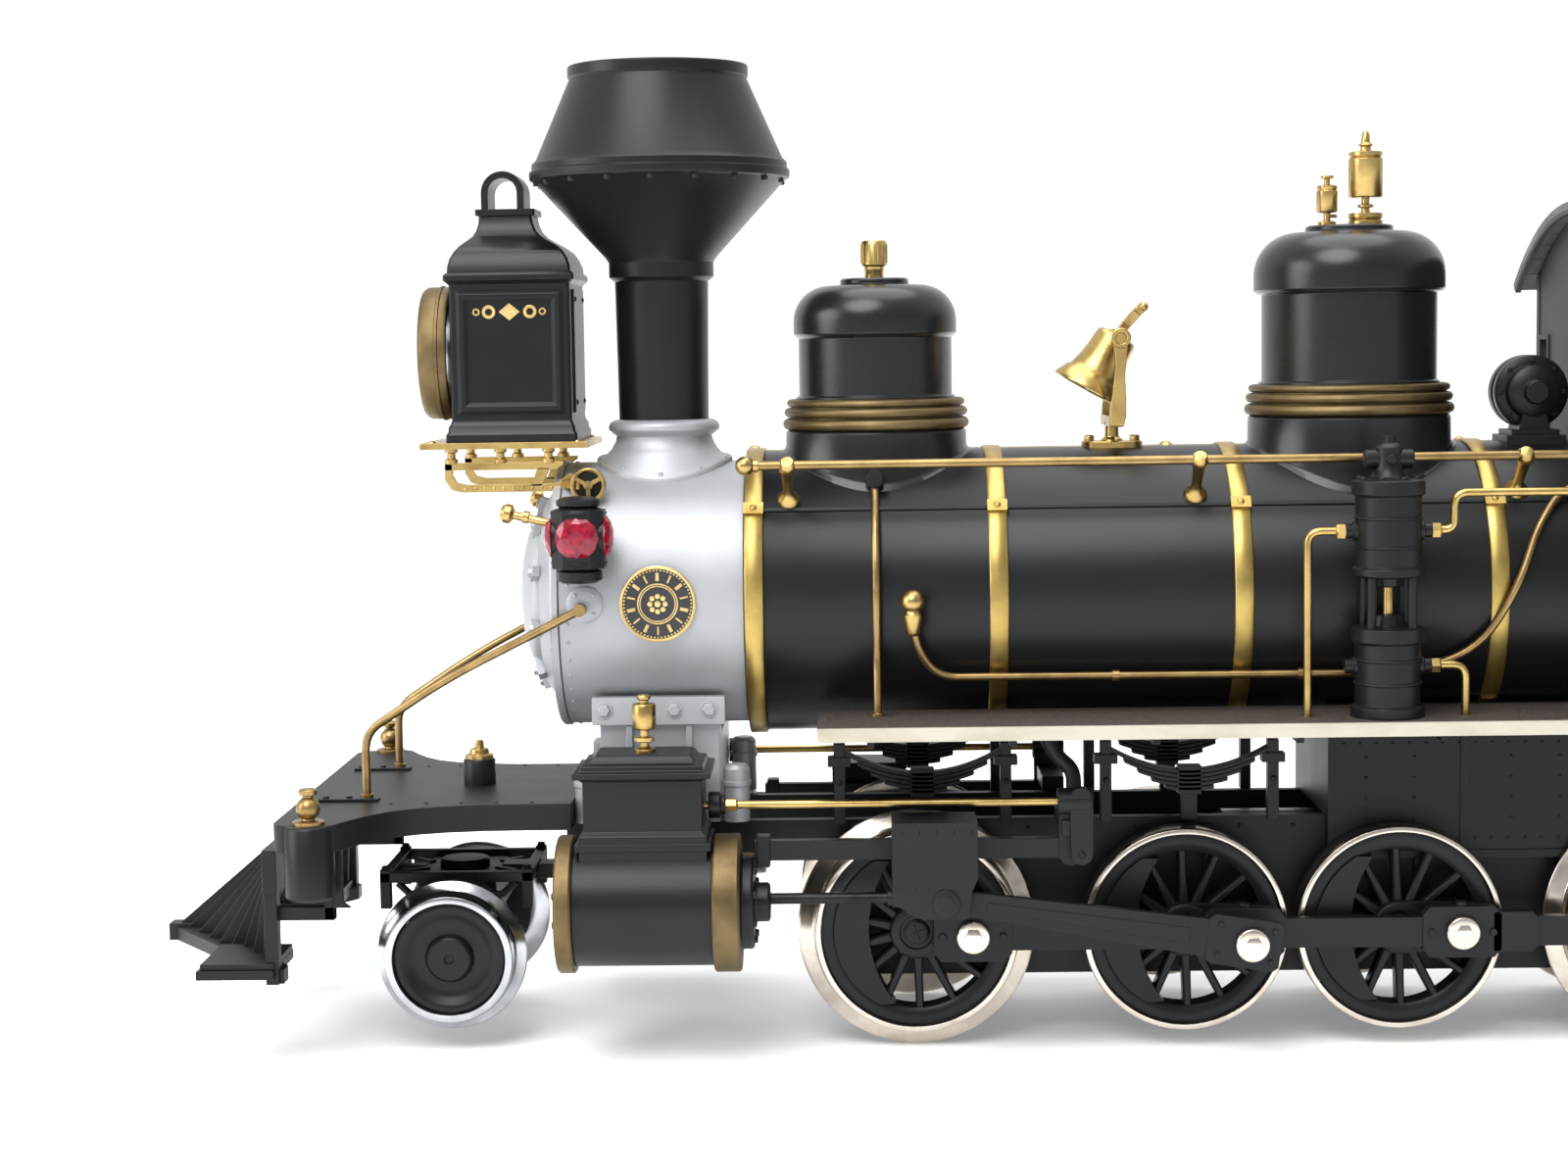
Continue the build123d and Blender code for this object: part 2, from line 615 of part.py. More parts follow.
def cylinder_rings():
    """Brass end rings around the cylinders."""
    rings = []
    for side in (-1, 1):
        for xs in ((CYLINDER_X[0] - 3.4, CYLINDER_X[0]), (CYLINDER_X[1], CYLINDER_X[1] + 5.2)):
            ring = rod_x(RING_R, xs, side * CYLINDER_Y, CYLINDER_Z)
            rings.append(ring - rod_x(10.4, (-120, -40), side * CYLINDER_Y, CYLINDER_Z))
    return rings


def steam_chest(side):
    """Steam chest over a cylinder with a stepped lid, a valve gland and the passage to the saddle."""
    ys = sorted((side * CHEST_Y[0], side * CHEST_Y[1]))
    lid = sorted((side * (CHEST_Y[0] + 1), side * (CHEST_Y[1] - 1)))
    top = sorted((side * (CHEST_Y[0] + 2.6), side * (CHEST_Y[1] - 2.6)))
    chest = block(CHEST_X, ys, (38.0, 57.6))
    chest += block((CHEST_X[0] - 0.9, CHEST_X[1] + 0.9), sorted((ys[0] - 0.9, ys[1] + 0.9)), (57.6, 58.9))
    chest += block((CHEST_X[0] + 0.7, CHEST_X[1] - 0.7), lid, (58.9, 60.2))
    chest += block((CHEST_X[0] + 2.4, CHEST_X[1] - 2.4), top, (60.2, 61.8))
    chest += block((-90.0, -71.0), sorted((side * 22.0, side * CHEST_Y[0])), (45.5, 56.0))
    chest += rod_x(2.6, (CHEST_X[1], CHEST_X[1] + 3.2), side * VALVE_ROD_Y, VALVE_ROD_Z)
    chest -= rod_x(CYLINDER_R, (-120, -40), side * CYLINDER_Y, CYLINDER_Z)
    chest -= rod_x(0.8, (CHEST_X[1] - 3, CHEST_X[1] + 5), side * VALVE_ROD_Y, VALVE_ROD_Z)
    return chest.solids().sort_by(Axis.Z)[-1]


def oil_cups():
    """Turned brass oil cups on the steam chests."""
    cup = turned(
        [
            (0, 0), (2.1, 0), (2.1, 0.7), (0.9, 1.1), (0.9, 1.9), (2.0, 2.1), (2.0, 2.8), (0.8, 3.0),
            (0.8, 4.3), (2.3, 4.5), (2.3, 9.4), (0.9, 9.6), (0.9, 10.0), (1.4, 10.2), (1.4, 11.0), (0, 11.0),
        ]
    )
    return [Pos(-81.4, side * 37.0, 61.8) * cup for side in (-1, 1)]


def guide_bar(side):
    """Guide bar from the cylinder cover to its yoke on the frame."""
    bar = block(GUIDE_X, GUIDE_Y, GUIDE_Z)
    yoke = block((-2.0, 4.5), (FRAME_Y[1], 37.8), (GUIDE_Z[1], 47.6))
    yoke += block((-2.0, 4.5), (33.4, 37.8), (38.2, 53.6))
    yoke += rod_x(2.3, (-2.0, 4.5), VALVE_ROD_Y, 52.4)
    yoke -= rod_x(0.8, (-3.0, 4.5), VALVE_ROD_Y, VALVE_ROD_Z)
    bar += yoke
    return bar if side > 0 else mirror(bar, about=Plane.XZ)


def valve_gear():
    """Brass valve rods, fixed in the chest glands and the guide yokes."""
    return [rod_x(0.8, (CHEST_X[1] - 3, 4.5), side * VALVE_ROD_Y, VALVE_ROD_Z) for side in (-1, 1)]


# ---- springs and firebox ------------------------------------------------------------------------


def leaf_spring(x, side):
    """A stack of curved leaves between two hangers, resting on a saddle post on the frame."""
    half = 15.6
    spring = block((x - 2.2, x + 2.2), (17.2, 19.2), (FRAME_TOP_Z - 1, 51.0))
    drop = 4.6
    radius = (half**2 + drop**2) / (2 * drop)
    for leaf in range(4):
        low = 50.4 + 0.95 * (3 - leaf)
        reach = half - 3.3 * (3 - leaf) * 0.9 if leaf < 3 else half
        disc = rod_y(radius, (17.0, 20.6), x, low + radius) - rod_y(radius - 1.0, (16, 22), x, low + radius)
        spring += disc & block((x - reach, x + reach), (16, 22), (low - 1, low + drop + 2.4))
    for end in (-1, 1):
        hanger = x + end * (half + 0.9)
        spring += block((hanger - 1.4, hanger + 1.4), (17.3, 20.3), (FRAME_TOP_Z - 1, 60.2))
        spring += block((hanger - 2.3, hanger + 2.3), (17.0, 20.6), (55.6, 57.6))
    return spring if side > 0 else mirror(spring, about=Plane.XZ)


def leaf_springs():
    springs = []
    for index in (0, 1):
        for side in (-1, 1):
            spring = leaf_spring(DRIVER_XS[index] + 1.6, side)
            springs.append(spring - block((-60, 60), (-FRAME_Y[1], FRAME_Y[1]), (40, 44.5)))
    return springs


def firebox():
    """Firebox sides under the boiler's rear, standing on the frame."""
    body = block(FIREBOX_X, (-FIREBOX_HALF_Y, FIREBOX_HALF_Y), (44.5, BOARD_Z[1]))
    for side in (-1, 1):
        ys = sorted((side * FRAME_Y[1], side * FIREBOX_HALF_Y))
        body += block(FIREBOX_X, ys, (36.0, 44.5))
    body -= boiler_core()
    body -= block((FIREBOX_X[0] + 2, FIREBOX_X[1] - 2), (-17.0, 17.0), (44.0, 57.0))
    for index in (2, 3):
        body -= rod_y(AXLE_R + 4, (-30, 30), DRIVER_XS[index], AXLE_Z)
    return body


# ---- boiler -------------------------------------------------------------------------------------


def smokebox():
    """Silver smokebox drum with a stay flange on each side."""
    drum = rod_x(SMOKEBOX_R, SMOKEBOX_X, 0, BOILER_Z)
    drum -= rod_x(SMOKEBOX_R - BOILER_WALL, (SMOKEBOX_X[0] - 1, SMOKEBOX_X[1] + 1), 0, BOILER_Z)
    return drum


def smokebox_front():
    """Front ring with its domed door, hinge straps and clamps."""
    x = SMOKEBOX_X[0]
    profile = [
        (0, 0), (27.1, 0), (27.1, 1.6), (22.0, 2.2), (18.0, 4.4), (16.4, 4.8), (16.4, 5.4),
        (14.0, 7.4), (10.0, 8.9), (5.0, 9.7), (0, 9.9),
    ]
    door = Pos(x, 0, BOILER_Z) * Rot(0, -90, 0) * turned(profile)
    for clamp in range(6):
        angle = 30 + 60 * clamp
        lug = Pos(x - 5.4, 0, 0) * Box(3.6, 3.4, 3.6)
        door += Pos(0, 0, BOILER_Z) * Rot(angle, 0, 0) * Pos(0, 0, 16.2) * lug
    return door


def builder_plates():
    """Round plates and stay flanges on the smokebox sides."""
    plates = []
    for side in (-1, 1):
        for x, radius, proud in ((-79.1, 7.4, 0.7), (-93.4, 3.6, FLANGE_PROUD)):
            disc = rod_y(radius, sorted((side * 20, side * (SMOKEBOX_R + proud))), x, BOILER_Z)
            plates.append(disc - boiler_core(SMOKEBOX_R))
    return plates


def boiler_barrel():
    """Boiler shell from the smokebox to the cab with a closed back."""
    shell = rod_x(BOILER_R, (BOILER_X[0], BOILER_X[1]), 0, BOILER_Z)
    shell -= rod_x(BOILER_R - BOILER_WALL, (BOILER_X[0] - 1, BOILER_X[1] - 2), 0, BOILER_Z)
    return shell


def boiler_bands():
    """Brass bands round the boiler and brass beads round the domes' feet."""
    bands = []
    for x in BAND_XS:
        xs = (x - BAND_WIDTH / 2, x + BAND_WIDTH / 2)
        band = rod_x(BOILER_R + BAND_THICK, xs, 0, BOILER_Z) - boiler_core()
        band -= block((x - 5, x + 5), (-FIREBOX_HALF_Y - 0.1, FIREBOX_HALF_Y + 0.1), (50, 68.2))
        band -= block((x - 5, x + 5), (-60, 60), (BOARD_Z[0] - 0.1, BOARD_Z[1] + 0.1))
        bands.append(band)
    bands.append(dome_ring(SAND_DOME_X, 16.2, 18.9, 122.0))
    bands.append(dome_ring(STEAM_DOME_X, 18.1, 20.9, 123.6))
    return bands


def dome_ring(x, inner, outer, z):
    """Two half-round beads and a fillet around a dome."""
    wide = outer - 1.1
    ring = rod_z(outer - 1.0, (z, z + 6.4), x, 0)
    for height in (1.1, 3.7):
        ring += Pos(x, 0, z + height) * Torus(wide, 1.1)
    return ring - rod_z(inner, (z - 5, z + 12), x, 0)


def dome(x, body_r, cap_r, foot_r, levels, disc_r):
    """A turned dome: foot, body, overhanging cap with a rounded shoulder, and a top disc."""
    foot_z, ring_z, cap_z, shoulder_z, top_z = levels
    ring_inner = body_r + 0.7
    shell = rod_z(foot_r, (100.0, foot_z), x, 0) + rod_z(ring_inner, (foot_z, ring_z), x, 0)
    shell += rod_z(body_r, (ring_z, cap_z + 1), x, 0)
    cap = rod_z(cap_r, (cap_z, shoulder_z), x, 0)
    edge = cap.edges().group_by(Axis.Z)[-1]
    shell += fillet(edge, (shoulder_z - cap_z) * 0.78)
    shell += rod_z(disc_r, (shoulder_z, top_z), x, 0)
    return shell - boiler_core()


def sand_dome():
    return dome(SAND_DOME_X, 15.5, 16.5, SAND_FOOT_R, (122.0, 128.6, 141.0, 151.0, 152.4), 6.9)


def steam_dome():
    return dome(STEAM_DOME_X, 17.4, 19.0, 20.2, (123.6, 130.2, 148.4, 160.2, 161.5), 8.7)


def dome_fittings():
    """Brass fittings on the domes: sand cap, whistle and safety valve, each turned from bar."""
    knob = turned([(0, 0), (1.9, 0), (1.9, 1.6), (2.0, 1.8), (2.0, 2.4), (2.6, 2.6), (2.6, 7.6), (0, 7.6)])
    whistle = turned(
        [
            (0, 0), (1.8, 0), (1.8, 0.8), (0.7, 1.2), (0.7, 2.6), (2.1, 2.8), (2.1, 8.2), (0.6, 8.4),
            (0.6, 9.4), (1.3, 9.6), (1.3, 10.0), (0, 10.0),
        ]
    )
    safety = turned(
        [
            (0, 0), (3.4, 0), (3.4, 2.4), (0.8, 2.5), (0.8, 5.4), (3.4, 5.5), (3.4, 14.8), (1.1, 15.0),
            (1.1, 15.6), (1.4, 15.9), (0.9, 16.3), (0.8, 18.4), (0, 19.0),
        ]
    )
    top = 161.5
    return [
        Pos(SAND_DOME_X, 0, 152.4) * knob,
        Pos(55.4, 0, top) * whistle,
        Pos(63.1, 0, top) * safety,
    ]


def stack_base():
    """Silver stack base with a rolled bead, flared to the smokebox."""
    base = turned(
        [
            (0, 105.0), (15.0, 105.0), (15.0, 115.4), (13.6, 116.8), (11.4, 118.2), (9.7, 120.0),
            (9.5, 121.4), (10.9, 122.0), (11.3, 123.0), (10.9, 124.0), (9.6, 124.6), (0, 124.6),
        ]
    )
    return Pos(STACK_X, 0, 0) * base - boiler_core(SMOKEBOX_R)


def smokestack():
    """Diamond stack, hollow from its mouth down to the base, with a bolted flange at its widest."""
    foot = 124.6
    wall = 1.6
    stack = turned(
        [
            (0, foot), (9.1, foot), (9.5, 152.6), (10.6, 153.2), (10.6, 156.4), (25.4, 172.6),
            (26.3, 173.6), (26.3, 174.8), (26.0, 175.2), (26.0, 176.2), (25.0, 177.2),
            (17.7, 193.0), (18.2, 193.4), (18.2, STACK_TOP_Z), (16.6, STACK_TOP_Z), (16.4, 192.6),
            (23.4, 176.6), (23.4, 174.0), (10.0, 159.4), (9.5 - wall, 156.0), (9.1 - wall, foot + 3),
            (0, foot + 3),
        ]
    )
    stack = Pos(STACK_X, 0, 0) * stack
    bolts = 16
    for bolt in range(bolts):
        angle = 2 * math.pi * bolt / bolts
        place = (STACK_X + 25.0 * math.cos(angle), 25.0 * math.sin(angle))
        stack += rod_z(0.7, (171.6, 173.8), *place)
    return stack


def handrails():
    """Handrails along the boiler with ball ends and turned stanchions on round collars."""
    rails = []
    for side in (-1, 1):
        rail = rod_x(RAIL_R, (SMOKEBOX_X[1] + 0.6, CAB_X[0]), side * RAIL_Y, RAIL_Z)
        rail += ball(1.9, SMOKEBOX_X[1] + 0.6, side * RAIL_Y, RAIL_Z)
        reach = math.hypot(RAIL_Y, RAIL_Z - BOILER_Z)
        share = BOILER_R / reach
        foot = (side * RAIL_Y * share, BOILER_Z + (RAIL_Z - BOILER_Z) * share)
        collar_share = (BOILER_R + 2.2) / reach
        collar = (side * RAIL_Y * collar_share, BOILER_Z + (RAIL_Z - BOILER_Z) * collar_share)
        for x in STANCHION_XS:
            post = rod_between((x, *foot), (x, side * RAIL_Y, RAIL_Z), 1.1)
            post += rod_between((x, *foot), (x, *collar), 2.1)
            rail += rod_x(1.6, (x - 1.6, x + 1.6), side * RAIL_Y, RAIL_Z) + post
        rails.append(rail)
    return rails


# ---- boiler fittings ----------------------------------------------------------------------------


def on_boiler(z, stand_off, side=-1):
    """Y of a point at height z, stand_off millimetres outside the boiler's shell."""
    return side * math.sqrt((BOILER_R + stand_off) ** 2 - (z - BOILER_Z) ** 2)


def boiler_pipes():
    """Sand pipes, and the feed pipes with their check valves."""
    pieces = []
    for side in (-1, 1):
        x = SAND_DOME_X - 0.6
        points = [(x, on_boiler(z, 1.0, side), z) for z in (111.6, 104.0, 95.0, 86.0, 78.0)]
        points += [(x, side * 29.0, 72.0), (x, side * 29.0, BOARD_Z[1])]
        run = pipe(points, 0.8, 3.0)
        run += rod_y(1.9, sorted((side * 17.0, side * 20.6)), x, 112.6)
        run -= rod_z(SAND_FOOT_R, (90, 122), SAND_DOME_X, 0)
        pieces.append(run - boiler_core())
        feed = feed_pipe(side)
        pieces.append(feed)
    return pieces


def feed_pipe(side):
    """Check valve with its ball, and the pipe along the boiler and up to the cab."""
    x = SAND_DOME_X + 6.4
    route = [
        (x, 88.0), (x + 0.6, 80.0), (x + 5.0, 74.2), (68.0, 74.0), (80.0, 79.0),
        (87.0, 91.0), (91.5, 103.0), (98.0, 110.0), (CAB_X[0], 110.0),
    ]
    points = [(px, on_boiler(pz, 2.7, side), pz) for px, pz in route]
    run = pipe(points, 0.8, 2.4)
    run += ball(2.4, x, on_boiler(89.0, 2.2, side), 89.4)
    run += rod_z(1.5, (83.6, 88.0), x, on_boiler(88.0, 2.0, side))
    return run - boiler_core()


def air_pump():
    """Air pump: steam cylinder over air cylinder with four columns, a piston rod and a valve chest."""
    pump = turned(
        [
            (0, 67.0), (7.0, 67.0), (7.0, 69.6), (6.0, 70.4), (6.0, 81.6), (7.0, 82.2), (7.0, 84.2),
            (0, 84.2),
        ]
    )
    pump += turned(
        [
            (0, 93.6), (6.8, 93.6), (6.8, 95.0), (6.1, 95.6), (6.1, 110.0), (7.0, 110.6), (7.0, 112.2),
            (2.6, 112.2), (2.6, 118.6), (1.6, 119.4), (1.0, 119.4), (1.0, 120.4), (0, 120.4),
        ]
    )
    for column in range(4):
        angle = math.radians(45 + 90 * column)
        pump += rod_z(0.8, (84.0, 93.8), 5.4 * math.cos(angle), 5.4 * math.sin(angle))
    pump += rod_z(0.9, (84.0, 93.8), 0, 0)
    pump += rod_x(1.9, (-4.6, 4.6), 0, 116.0)
    for x, z in ((8.4, 102.4), (-8.4, 102.4), (8.4, 76.6), (-8.4, 76.6)):
        pump += rod_x(1.5, sorted((0, x)), 0, z)
    pump = Pos(PUMP_X, PUMP_Y, 0) * pump
    pump += block((PUMP_X - 4, PUMP_X + 4), (PUMP_Y + 4, -25), (98.0, 101.0))
    return pump - boiler_core()


def pump_pipes():
    """Brass steam and air pipes of the pump."""
    left = PUMP_X - 8.4
    right = PUMP_X + 8.4
    y = PUMP_Y
    low = BOARD_Z[1]
    routes = [
        [(left, y, 102.4), (left - 6.8, y, 102.4), (left - 6.8, y, low)],
        [(right, y, 76.6), (right + 6.4, y, 76.6), (right + 6.4, y, low)],
        [(right, y, 102.4), (right + 4.0, y, 102.4), (right + 4.0, y, 109.4), (CAB_X[0], y, 109.4)],
    ]
    bends = (3.0, 3.0, 1.6)
    return [pipe(route, 0.8, bend) for route, bend in zip(routes, bends)]


def generator():
    """Turbo-generator on a bracket across the boiler's top."""
    y = 0.0
    drum = rod_y(5.4, (y - 7.0, y + 7.0), 96.2, 127.6)
    drum += rod_y(7.4, (y + 1.2, y + 4.2), 96.2, 127.6) + rod_y(7.4, (y - 2.2, y + 0.2), 96.2, 127.6)
    drum += block((90.2, 102.2), (-6.5, 6.5), (112.0, 120.2))
    drum += block((93.6, 98.8), (-5.0, 5.0), (119.0, 124.0))
    return drum - boiler_core()


# ---- headlight ----------------------------------------------------------------------------------


def headlight_case():
    """Box headlight with framed sides, base mouldings, an ogee roof and a ring handle."""
    low, high = LAMP_Z
    middle = (LAMP_X[0] + LAMP_X[1]) / 2
    half_x = (LAMP_X[1] - LAMP_X[0]) / 2
    case = block(LAMP_X, (-LAMP_HALF_Y + 1, LAMP_HALF_Y - 1), (low, high))
    case += block((LAMP_X[0] - 0.9, LAMP_X[1] + 0.9), (-LAMP_HALF_Y, LAMP_HALF_Y), (low, low + 2.2))
    step = LAMP_HALF_Y - 0.5
    case += block((LAMP_X[0] - 0.4, LAMP_X[1] + 0.4), (-step, step), (low + 2.2, low + 3.6))
    case += block((LAMP_X[0] - 0.8, LAMP_X[1] + 0.8), (-LAMP_HALF_Y, LAMP_HALF_Y), (high - 1.6, high))
    levels = [(1.0, 0.0), (0.98, 2.2), (0.86, 5.0), (0.62, 7.0), (0.42, 8.4), (0.36, 10.4)]
    for share, rise in levels:
        half_y = LAMP_HALF_Y * share
        xs = (middle - half_x * share, middle + half_x * share)
        case += block(xs, (-half_y, half_y), (high + rise - 0.2, high + rise + 2.4))
    case += block((middle - 6.6, middle + 4.6), (-6.4, 6.4), (high + 12.0, high + 13.4))
    ring_z = high + 16.6
    case += rod_y(4.4, (-1.2, 1.2), LAMP_RING_X, ring_z) - rod_y(2.7, (-3, 3), LAMP_RING_X, ring_z)
    case -= rod_x(11.6, (LAMP_X[0] - 3, LAMP_X[1] - 4), 0, BEZEL_Z)
    return case


def headlight_bezel():
    """Brass front drum of the headlight."""
    drum = rod_x(BEZEL_R, (LAMP_X[0] - 6.6, LAMP_X[0] - 0.9), 0, BEZEL_Z)
    return drum - rod_x(11.8, (LAMP_X[0] - 9, LAMP_X[0] + 1), 0, BEZEL_Z)


def headlight_lens():
    """Glass disc in the bezel."""
    return rod_x(11.8, (LAMP_X[0] - 5.4, LAMP_X[0] - 4.2), 0, BEZEL_Z)


def headlight_bracket():
    """Brass shelf with two side frames that reach back to bosses beside the smokebox."""
    shelf = block((-126.7, -93.2), (-15.6, 15.6), (119.4, LAMP_Z[0]))
    for side in (-1, 1):
        ys = sorted((side * 13.2, side * 15.2))
        inner = sorted((side * 13.4, side * 15.0))
        shelf += block((-122.0, -98.0), inner, (115.2, 117.0))
        shelf += block((-122.4, -98.0), inner, (110.8, 112.6))
        shelf += block((-122.4, -120.6), inner, (110.8, 117.0))
        shelf += block((-104.4, -98.0), inner, (110.8, 117.0))
        shelf += rod_y(3.3, ys, -92.8, 112.0)
        shelf += block((-98.4, -92.8), inner, (111.0, 114.6))
        for x in (-120.8, -101.0):
            shelf += rod_z(1.3, (116.8, 119.5), x, side * 14.2)
    shelf -= rod_x(27.1, (SMOKEBOX_X[0] - 3.0, SMOKEBOX_X[0]), 0, BOILER_Z)
    return shelf - boiler_core(SMOKEBOX_R)


def marker_lamp(side):
    """Marker lamp body on a bracket beside the smokebox front."""
    x = -93.8
    y = side * 31.0
    body = block((x - 5.6, x + 5.6), sorted((y - 5.0, y + 5.0)), (97.0, 108.2))
    body += rod_z(4.6, (94.0, 97.0), x, y) + rod_z(4.2, (108.2, 110.8), x, y)
    body += block((x - 2, x + 2), sorted((side * 20, side * 28)), (99.0, 103.0))
    return body - boiler_core(SMOKEBOX_R)


def marker_jewels():
    """Red faceted jewels on three faces of each marker lamp."""
    jewel = turned([(0, 0), (3.6, 0), (3.4, 0.6), (1.9, 1.8), (0, 1.9)])
    jewels = []
    for side in (-1, 1):
        place = Pos(-93.8, side * 31.0, 102.8)
        jewels.append(place * Rot(-90 * side, 0, 0) * Pos(0, 0, 5.0) * jewel)
        for turn in (90, -90):
            jewels.append(place * Rot(0, turn, 0) * Pos(0, 0, 5.6) * jewel)
    return jewels


# ---- bell ---------------------------------------------------------------------------------------


def bell_stand():
    """Brass foot, stem and two upright arms with bores for the bell's trunnions."""
    stand = block((BELL_PIVOT_X - 7.2, BELL_PIVOT_X + 5.2), (-4.5, 4.5), (112.0, 118.9))
    stand += rod_z(1.4, (118.9, 122.6), BELL_PIVOT_X - 1.0, 0)
    stand += block((BELL_PIVOT_X - 2.4, BELL_PIVOT_X + 0.4), (-9.8, 9.8), (121.9, 124.2))
    for side in (-1, 1):
        foot = (BELL_PIVOT_X - 1.0, side * 8.9, 122.9)
        stand += bar_between(foot, (BELL_PIVOT_X, side * 8.9, BELL_PIVOT_Z), 1.8, 2.4)
        stand += rod_y(2.0, sorted((side * 8.0, side * 9.8)), BELL_PIVOT_X, BELL_PIVOT_Z)
    stand -= rod_y(1.0 + RUNNING_GAP, (-12, 12), BELL_PIVOT_X, BELL_PIVOT_Z)
    return stand - boiler_core()


def bell():
    """Bell with its yoke, trunnions and rope lever. It hangs from the trunnions."""
    cup = turned(
        [
            (0, 0.6), (3.6, 0.6), (4.2, 0.0), (4.5, -3.0), (5.0, -6.0), (5.8, -8.8), (7.4, -11.2),
            (7.5, -12.0), (6.7, -12.0), (5.0, -9.0), (4.2, -6.0), (3.7, -3.0), (3.2, -1.6), (0, -1.4),
        ]
    )
    cup += rod_z(1.1, (-10.4, -1.2), 0, 0) + ball(1.6, 0, 0, -10.4)
    yoke = block((-1.5, 1.5), (-7.4, 7.4), (-1.1, 1.1)) + rod_y(1.0, (-10.0, 10.0), 0, 0)
    lever = bar_between((0, 0, 0), (1.2, 0, 7.8), 1.8, 1.8)
    lever += block((0.5, 2.1), (-2.4, 2.4), (7.2, 8.8))
    return Pos(BELL_PIVOT_X, 0, BELL_PIVOT_Z) * Rot(0, BELL_TILT, 0) * (cup + yoke + lever)


# ---- running boards and cab ---------------------------------------------------------------------


def running_boards():
    """Running boards on both sides, from beside the smokebox to the cab's rear."""
    boards = []
    for side in (-1, 1):
        ys = sorted((side * BOARD_Y[0], side * BOARD_Y[1]))
        board = block((BOARD_FRONT_X, CAB_X[1]), ys, (BOARD_Z[0] + 0.9, BOARD_Z[1]))
        edge = sorted((side * (BOARD_Y[1] - 1.2), side * BOARD_Y[1]))
        board += block((BOARD_FRONT_X, CAB_X[1]), edge, BOARD_Z)
        board -= boiler_core()
        board -= block(FIREBOX_X, (-FIREBOX_HALF_Y, FIREBOX_HALF_Y), (60, 70))
        boards.append(board)
    return boards


def cab_walls():
    """Cab: front wall with two windows, side walls with two windows each, floor and rear posts."""
    top = 171.0
    shell = block(CAB_X, (-CAB_HALF_Y, CAB_HALF_Y), (BOARD_Z[1], top))
    inner_y = CAB_HALF_Y - CAB_WALL
    inner_x = (CAB_X[0] + CAB_WALL, CAB_X[1] - CAB_WALL)
    shell -= block(inner_x, (-inner_y, inner_y), (BOARD_Z[1] + 1.5, top + 1))
    shell -= block((CAB_X[1] - 4, CAB_X[1] + 2), (-25, 25), (BOARD_Z[1] + 1.5, 140.0))
    for x in (CAB_X[0] + 10, CAB_X[0] + 38):
        shell -= block((x, x + 22), (-60, 60), (105.0, 137.0))
    for side in (-1, 1):
        ys = sorted((side * 31.0, side * 37.0))
        shell -= block((CAB_X[0] - 2, CAB_X[0] + 3), ys, (84.0, 138.0))
    return shell & rod_x(ROOF_R - ROOF_THICK, ROOF_X, 0, ROOF_CENTRE_Z)


def cab_roof():
    """Arched roof with overhanging eaves and carline ribs beneath its front edge."""
    roof = rod_x(ROOF_R, ROOF_X, 0, ROOF_CENTRE_Z) - rod_x(ROOF_R - ROOF_THICK, ROOF_X, 0, ROOF_CENTRE_Z)
    return roof & block(ROOF_X, (-ROOF_HALF_Y, ROOF_HALF_Y), (130, 180))


# ---- drawbar ------------------------------------------------------------------------------------


def drawbar():
    """Flat link from the frame's tail to the tender, with an eye at each end."""
    half = 1.3
    zs = (DRAWBAR_Z - half, DRAWBAR_Z + half)
    bar = block((DRAWBAR_PIVOT_X, TAIL_X - 4), (-3.2, 3.2), zs)
    bar += rod_z(4.0, zs, DRAWBAR_PIVOT_X, 0) + rod_z(4.0, zs, TAIL_X - 4, 0)
    bar -= rod_z(1.8 + RUNNING_GAP, (30, 50), DRAWBAR_PIVOT_X, 0)
    return bar - rod_z(DRAWBAR_HOLE_R, (30, 50), TAIL_X - 4, 0)


def ballast_weight():
    """Cast weight inside the boiler over the middle drivers."""
    return rod_x(BOILER_R - BOILER_WALL - 0.5, (0.0, 60.0), 0, BOILER_Z) & block((0, 60), (-30, 30), (60, 92))


for number in range(4):
    wheels = driver(number)
    if number == MAIN_DRIVER:
        wheels.append(worm_wheel())
    save(f"driver_{number + 1}", *wheels)
    save(f"driver_{number + 1}_tyres", *driver_tyres(number))

for name, side in (("left", -1), ("right", 1)):
    save(f"side_rod_{name}", side_rod(side))
    save(f"main_rod_{name}", main_rod(side))
    save(f"crosshead_{name}", crosshead(side))

save("motor_shaft", motor_shaft())
save("motor", motor())
save("gearbox_housing", gearbox_housing())
save("ballast_weight", ballast_weight())
save("truck_frame", truck_frame())
save("pilot_wheels", *pilot_wheels())
save("frame", *frame())
save("pilot_deck", pilot_deck())
save("cowcatcher", cowcatcher())
save("pole_posts", *pole_posts())
save("deck_stays", *deck_stays())
save("saddle", saddle())
save("cylinders", cylinder(-1), cylinder(1))
save("cylinder_brass", *cylinder_rings(), *oil_cups())
save("steam_chests", steam_chest(-1), steam_chest(1))
save("guide_bars", guide_bar(-1), guide_bar(1))
save("valve_rods", *valve_gear())
save("leaf_springs", *leaf_springs())
save("firebox", firebox())
save("smokebox", smokebox())
save("smokebox_front", smokebox_front())
save("builder_plates", *builder_plates())
save("boiler_barrel", boiler_barrel())
save("boiler_bands", *boiler_bands())
save("sand_dome", sand_dome())
save("steam_dome", steam_dome())
save("dome_fittings", *dome_fittings())
save("stack_base", stack_base())
save("smokestack", smokestack())
save("handrails", *handrails())
save("boiler_pipes", *boiler_pipes())
save("air_pump", air_pump())
save("pump_pipes", *pump_pipes())
save("generator", generator())
save("headlight_case", headlight_case())
save("headlight_bezel", headlight_bezel())
save("headlight_lens", headlight_lens())
save("headlight_bracket", headlight_bracket())
save("marker_lamps", marker_lamp(-1), marker_lamp(1))
save("marker_jewels", *marker_jewels())
save("bell_stand", bell_stand())
save("bell", bell())
save("running_boards", *running_boards())
save("cab_walls", cab_walls())
save("cab_roof", cab_roof())
